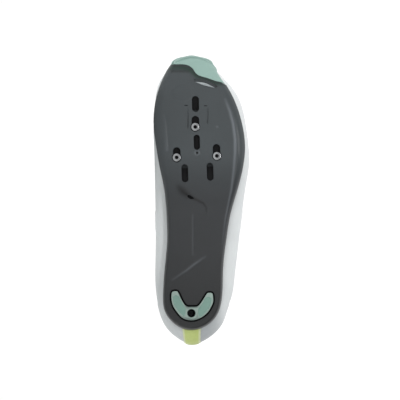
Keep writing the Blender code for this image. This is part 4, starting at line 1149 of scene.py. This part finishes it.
def panelTone(turn, rise):
    # Heel counter, greyer towards its end, partly a grey panel and partly painted shade, and the film overlays
    # off the rand, which are a brighter white
    share = shareOf(turn)
    side = np.where(np.sin(turn) > 0, 1, .55)
    counter = 0.85 * side * (1 - smoothStep(share, .010, .120)) * (1 - smoothStep(rise, .50, .54))
    overlay = 0.8 * filmShare(turn, rise) * smoothStep(rise, .20, .24) * smoothStep(share, .16, .18)
    return np.stack((counter, overlay, 0 * counter), -1)


def creases(turn, rise):
    # Soft flexing waves across the vamp behind the toe cap, and a slight slackness above the heel
    share = shareOf(turn)
    vamp = smoothStep(share, .68, .73) * (1 - smoothStep(share, .80, .85))
    high = smoothStep(rise, .45, .65) * (1 - smoothStep(rise, .90, 1))
    flex = np.sin((share - .70) * tau / upper["flexPitch"]) * vamp * high
    heel = np.sin(rise * 9 + 3 * turn) * (1 - smoothStep(share, .10, .22)) * smoothStep(rise, .35, .6)
    return upper["flexHeight"] * flex + upper["slackHeight"] * heel


def makeUpper():
    columns, rows = upper["columns"], upper["rows"]
    turns = (np.arange(columns) * tau / columns)[None, :]
    rises = np.concatenate((np.linspace(0, .3, 22), np.linspace(.3, 1, rows - 20)[1:]))[:, None]
    film = upper["filmHeight"] * (filmShare(turns, rises) - 1)
    outer = upperOffset(turns, rises, film + creases(turns, rises))
    share = shareOf(turns)
    # The lining is padded round the collar and thin elsewhere
    collar = (1 - smoothStep(share, .36, .46)) * np.exp(-((rises - .86) / .12) ** 2)
    inner = upperOffset(turns, rises, -upper["wall"] - upper["liningPad"] * collar)
    # Round edge binding over the top line
    a, b = outer[-1], inner[-1]
    rise = unit(outer[-1] - outer[-2])
    angles = np.linspace(0, math.pi, 9)[:, None, None]
    rim = (a + b) / 2 + (a - b) / 2 * np.cos(angles) * 1.12 + rise * upper["rimHeight"] * np.sin(angles)
    rim[0], rim[-1] = a, b
    # Lasting margin: the foot of the upper turns in over the rim of the plate, up to the footbed
    drawnIn = bumper["toeInset"] * toeShare(turns[0])
    margin = [soleLine(turns[0], inset + drawnIn, sole["rimRise"] + lift)
              for inset, lift in upper["lastingMargin"]]
    foot = np.stack([inner[0]] + margin + [outer[0]])
    grids = [(outer, True, 0), (rim, True, 2), (inner[::-1], True, 1), (foot, True, 1)]
    # The microfibre reads its place round and up the outer face in metres, and where it has vent holes
    around = runOf(outer[rows // 2])[None, :] + 0 * rises
    up = np.stack([runOf(outer[:, k]) for k in range(columns)], axis=1)
    vents = (smoothStep(share, .60, .61) * (1 - smoothStep(share + .05 * rises, .885, .89))
             * smoothStep(rises, .34, .35) * (1 - smoothStep(rises, .62, .63)))
    surface = np.zeros((sum(grid.shape[0] * grid.shape[1] for grid, _, _ in grids), 3))
    tone = surface.copy()
    surface[:around.size] = np.stack((around, up, vents), -1).reshape(-1, 3)
    tone[:around.size] = panelTone(turns, rises).reshape(-1, 3)
    mesh = meshFrom("upper_shell", grids, surface=surface, panel=tone)
    addPiece("upperShell", mesh, [microfibre, lining, binding], ["upper"], sharp=50)


makeUpper()
print("upper made")


# Tongue, straps and heel strip
throatFullness = 0.8


def bridge(start, end, startWay, endWay, fullness, steps):
    # Hermite rows from one edge to the other, leaving and arriving along the given directions
    span = np.linalg.norm(end - start, axis=-1, keepdims=True) * fullness
    s = np.linspace(0, 1, steps + 2)[1:-1, None, None]
    return hermite(start, end, span * startWay, span * endWay, s)


def acrossThroat(turns, medialRises, lateralRises, distance, fullness, steps):
    # Sheet over the throat that follows the upper's walls at a distance, from the lateral to the medial side.
    # turns may differ from row to row, which rounds a strap's ends.
    medial = upperOffset(-turns[0], medialRises[:, None], distance)
    lateral = upperOffset(turns[1], lateralRises[::-1, None], distance)
    startWay = unit(medial[-1] - medial[-2])
    endWay = unit(lateral[1] - lateral[0])
    middle = bridge(medial[-1], lateral[0], startWay, endWay, fullness, steps)
    return np.concatenate((medial, middle, lateral))[::-1]


tongue = {"thickness": 0.0030, "stands": 0.0220, "front": 0.0150, "dip": math.radians(30), "columns": 90,
          "edgeRows": 8, "middleRows": 34, "from": .487, "to": .950, "channelPitch": 0.009,
          "channelWidth": 0.0011}


def tongueSheet(distance):
    # Rows run across the foot. The free end goes on the way each row came, its middle turning up along the
    # shin, and the front end sinks away under the vamp.
    columns = np.linspace(turnOf(tongue["from"]), turnOf(tongue["to"]), tongue["columns"])
    rises = np.linspace(.90, 1, tongue["edgeRows"])
    sheet = acrossThroat([columns[None, :]] * 2, rises, rises, distance, throatFullness, tongue["middleRows"])
    last = sheet[:, :1]
    own = unit(last - sheet[:, 1:2])
    middle = last.mean(axis=0, keepdims=True)
    bow = 1 - np.linspace(-1, 1, len(last))[:, None, None] ** 2
    share = np.linspace(1, 0, 19)[None, :-1, None]
    narrow = 1 - 0.2 * share
    shape = last * (1, 0, 1) + (last * narrow + middle * (1 - narrow)) * (0, 1, 0)
    way = own * (1 - 0.6 * bow * share) + np.array((-0.36, 0, 0.93)) * 0.6 * bow * share
    free = shape + way * tongue["stands"] * share * (0.55 + 0.45 * bow)
    sinking = np.array((math.cos(tongue["dip"]), 0, -math.sin(tongue["dip"])))
    hidden = sheet[:, -1:] + sinking * tongue["front"] * np.linspace(0, 1, 9)[None, 1:, None]
    return np.concatenate((free, sheet, hidden), axis=1)


def makeTongue():
    under = -upper["wall"] - 2 * sole["gap"]
    near, far = tongueSheet(under), tongueSheet(under - tongue["thickness"])
    # Sewn channels across the padding, only on the outer face
    rows, pitch = len(near), tongue["channelPitch"]
    along = runOf(near[rows // 2])
    channel = 0.16 * np.exp(-((np.mod(along, pitch) - pitch / 2) / tongue["channelWidth"]) ** 2)
    inside = np.sin(np.linspace(0, math.pi, rows)) ** 0.4
    near = near + (far - near) * (channel[None, :] * inside[:, None])[..., None]
    mesh = meshFrom("tongue", softSheet(near, far))
    piece = addPiece("tongueSoft", mesh, [tongueKnit], ["tongue"], sharp=60)


straps = {"strapInstep": ("strap_instep", .538, .672), "strapForefoot": ("strap_forefoot", .708, .852)}
strap = {"thickness": 0.0020, "medialFrom": .62, "lateralFrom": .50, "columns": 44, "rows": 26,
         "middleRows": 40, "lift": 0.0001, "seamInset": 7, "seamEnd": 3}


def strapTurns(first, last, rises, start, roundness):
    # The strap's width as angles, drawn in like a half circle near its end
    centre = (turnOf(first) + turnOf(last)) / 2
    half = (turnOf(last) - turnOf(first)) / 2
    d = np.clip((rises - start) / roundness, 0, 1)
    width = (1 - (1 - d) ** 2.6) ** 0.5 * 0.88 + 0.12
    return centre + half * width[:, None] * (2 * clustered(strap["columns"], .6)[None, :] - 1)


def makeStraps():
    # Both straps; the loops of their edge stitching are returned
    loops = []
    medialRises, lateralRises = (strap[side] + (1 - strap[side]) * clustered(strap["rows"], .5)
                                 for side in ("medialFrom", "lateralFrom"))
    for title, (name, first, last) in straps.items():
        turns = (strapTurns(first, last, medialRises, strap["medialFrom"], .07),
                 strapTurns(first, last, lateralRises, strap["lateralFrom"], .10)[::-1])
        near = sole["gap"] + strap["lift"]
        sheets = [acrossThroat(turns, medialRises, lateralRises, distance, throatFullness, strap["middleRows"])
                  for distance in (near, near + strap["thickness"])]
        addPiece(title, meshFrom(name, softSheet(*sheets)), [strapCover], [name], sharp=60)
        outside, edge, end = sheets[1], strap["seamInset"], strap["seamEnd"]
        sides = (outside[end:-end, edge], outside[-end, edge:-edge],
                 outside[-end - 1:end - 1:-1, -edge - 1], outside[end, -edge - 1:edge:-1])
        loops.append(np.concatenate(sides))
    return loops


strip = {"width": 0.0156, "thickness": 0.0008, "lift": 0.0001, "from": .012, "to": .93}


def makeStrip():
    # Film up the middle of the heel, thinning to a soft edge
    halfTurn = strip["width"] / 2 / (upper["width"] * (upperReach(0.1) - upperReach(-0.1)) / 0.2)
    turns = halfTurn * (2 * clustered(26, .7)[None, :] - 1)
    rises = strip["from"] + (strip["to"] - strip["from"]) * clustered(90, .5)[:, None]
    near, far = (upperOffset(turns, rises, d) for d in (strip["lift"], strip["lift"] + strip["thickness"]))
    # The welded border is sunk a little and paler
    across = np.abs(turns / halfTurn) + 0 * rises
    border = smoothStep(across, .76, .82)
    far = far - (far - near) * 0.35 * border[..., None]
    surface = firstOnly(border).reshape(-1, 3)
    mesh = meshFrom("heel_strip", softSheet(near, far), surface=np.concatenate((surface, surface)))
    addPiece("heelStrip", mesh, [limeFilm], ["heel_strip"], sharp=60)


makeTongue()
stitchLines = makeStraps()
makeStrip()
print("tongue, straps and heel strip made")


# Stitching
stitch = {"length": 0.0026, "space": 0.0010, "radius": 0.00028, "sides": 6, "rings": 5}


def stitchRow(line):
    # Stitches along a line: a short spindle each, of radius r sin(pi s)^0.5, lying on the surface
    at = runOf(line)
    count = int(at[-1] / (stitch["length"] + stitch["space"]))
    starts = (np.arange(count) + 0.15) * at[-1] / count
    s = np.linspace(0, 1, stitch["rings"])
    where = starts[:, None] + s[None, :] * stitch["length"]
    centre = np.stack([np.interp(where, at, line[:, k]) for k in range(3)], -1)
    ahead = unit(centre[:, -1:] - centre[:, :1])
    side = unit(np.cross(ahead, (0.31, 0.27, 0.91)))
    other = np.cross(ahead, side)
    turned = circle(stitch["sides"])
    radius = stitch["radius"] * np.maximum(np.sin(math.pi * s), 0.25) ** 0.5
    ring = side[:, :, None] * turned[:, :1] + other[:, :, None] * turned[:, 1:]
    return centre[:, :, None] + ring * radius[None, :, None, None]


def makeStitching(lines):
    grids, caps, first = [], [], 0
    count, rings = stitch["sides"], stitch["rings"]
    for line in lines:
        for tube in stitchRow(line):
            grids.append((tube, True, 0))
            caps += [(first, count, 0), (first + (rings - 1) * count, count, 0)]
            first += rings * count
    addPiece("stitching", meshFrom("stitching", grids, caps), [threadFinish], sharp=80)


def seamLine(first, last, rise, lift, count):
    # Line on the upper from one turn to another, all at one height
    turns = np.linspace(first, last, count)
    return upperOffset(turns, 0 * turns + rise, lift)


# Height as a share, distance off the face and number of points of each seam
seams = {"collar": (.955, 0.0002, 400), "stay": (.90, 0.0001, 120)}
# The seam of the throat's stay shows between the straps only
stayParts = ((.45, .530), (.682, .698), (.860, .985))

collarSeam = seamLine(-turnOf(.44), turnOf(.44), *seams["collar"])
staySeams = [seamLine(side * turnOf(first), side * turnOf(last), *seams["stay"])
             for first, last in stayParts for side in (1, -1)]
makeStitching([collarSeam] + staySeams + stitchLines)
print("stitching made")


# Floor, light and camera
stage = {"floorHalf": 8.0, "floorColour": "#F0F0EF", "cameraDistance": 3.2, "cameraHeight": 0.007,
         "sensorWidth": 36, "frameWidth": 0.3945, "aimAlong": 0.1436, "aimAcross": 0.0069,
         "skyAhead": 0.47, "skyBehind": 1.12, "skyAbove": 0.08, "skyToe": 0.20, "tableGlow": 0.27,
         "lampAim": (0, 0, 0.04)}
# Area lights: place and size in metres, and power in watts
lamps = {
    "strip": ((-0.12, -1.10, 0.66), (0.7, 0.12), 4.2),
    "overhead": ((-0.15, -0.20, 1.1), (0.7, 0.7), 0.8),
    "toeSide": ((-1.1, -0.7, 0.35), (0.5, 0.5), 0.9),
}


def makeStage():
    half = stage["floorHalf"]
    mesh = bpy.data.meshes.new("floor")
    corners = [(-half, -half, 0), (half, -half, 0), (half, half, 0), (-half, half, 0)]
    mesh.from_pydata(corners, [], [(0, 1, 2, 3)])
    floor = bpy.data.objects.new("floor", mesh)
    bpy.context.scene.collection.objects.link(floor)
    # Opal shooting table, lit faintly from below
    mesh.materials.append(newMaterial("opal_shooting_table", {
        "Base Color": colour(stage["floorColour"]), "Roughness": 0.9, "Specular IOR Level": 0.1,
        "Emission Color": (1, 1, 1, 1), "Emission Strength": stage["tableGlow"]})[0])
    world = bpy.data.worlds.new("studio")
    bpy.context.scene.world = world
    world.use_nodes = True
    backdrop = world.node_tree.nodes["Background"]
    backdrop.inputs["Color"].default_value = (1, 1, 1, 1)
    # White studio, a little dimmer on the sole's side than behind the shoe, brighter above and at the toe
    tree = world.node_tree
    way = addNode(tree, "TexCoord", {}).outputs["Generated"]
    split = addNode(tree, "SeparateXYZ", {}, {0: way}).outputs
    depth = spread(tree, split["Y"], stage["skyAhead"], stage["skyBehind"], -0.5, 0.5)
    above = maths(tree, "MULTIPLY_ADD", split["Z"], stage["skyAbove"], depth)
    strength = maths(tree, "MULTIPLY_ADD", split["X"], -stage["skyToe"], above)
    tree.links.new(strength, backdrop.inputs["Strength"])
    for name, (place, size, power) in lamps.items():
        light = bpy.data.lights.new(name, "AREA")
        light.shape = "RECTANGLE"
        light.size, light.size_y = size
        light.energy = power
        lamp = bpy.data.objects.new(name, light)
        lamp.location = place
        lamp.rotation_euler = (Vector(stage["lampAim"]) - Vector(place)).to_track_quat("-Z", "Y").to_euler()
        bpy.context.scene.collection.objects.link(lamp)


def makeCamera():
    # Looks at the sole from just above the floor, rolled so that the toe is up, as in the photograph
    camera = bpy.data.cameras.new("camera")
    camera.sensor_width = stage["sensorWidth"]
    camera.lens = stage["sensorWidth"] * stage["cameraDistance"] / stage["frameWidth"]
    camera.clip_start = 0.05
    eye = bpy.data.objects.new("camera", camera)
    bpy.context.scene.collection.objects.link(eye)
    aim = toRow((stage["aimAlong"], stage["aimAcross"], 0))
    drop = aim[2] - stage["cameraHeight"]
    level = math.sqrt(stage["cameraDistance"] ** 2 - drop ** 2)
    place = aim + unit(-shoeUp * (1, 1, 0)) * level - (0, 0, drop)
    forward = unit(aim - place)
    up = unit(shoeAhead - forward * (shoeAhead @ forward))
    right = np.cross(forward, up)
    eye.matrix_world = Matrix(np.column_stack((right, up, -forward)).tolist()).to_4x4()
    eye.location = place
    bpy.context.scene.camera = eye


makeStage()
makeCamera()
bpy.context.scene.view_settings.view_transform = "Standard"
print("stage set")
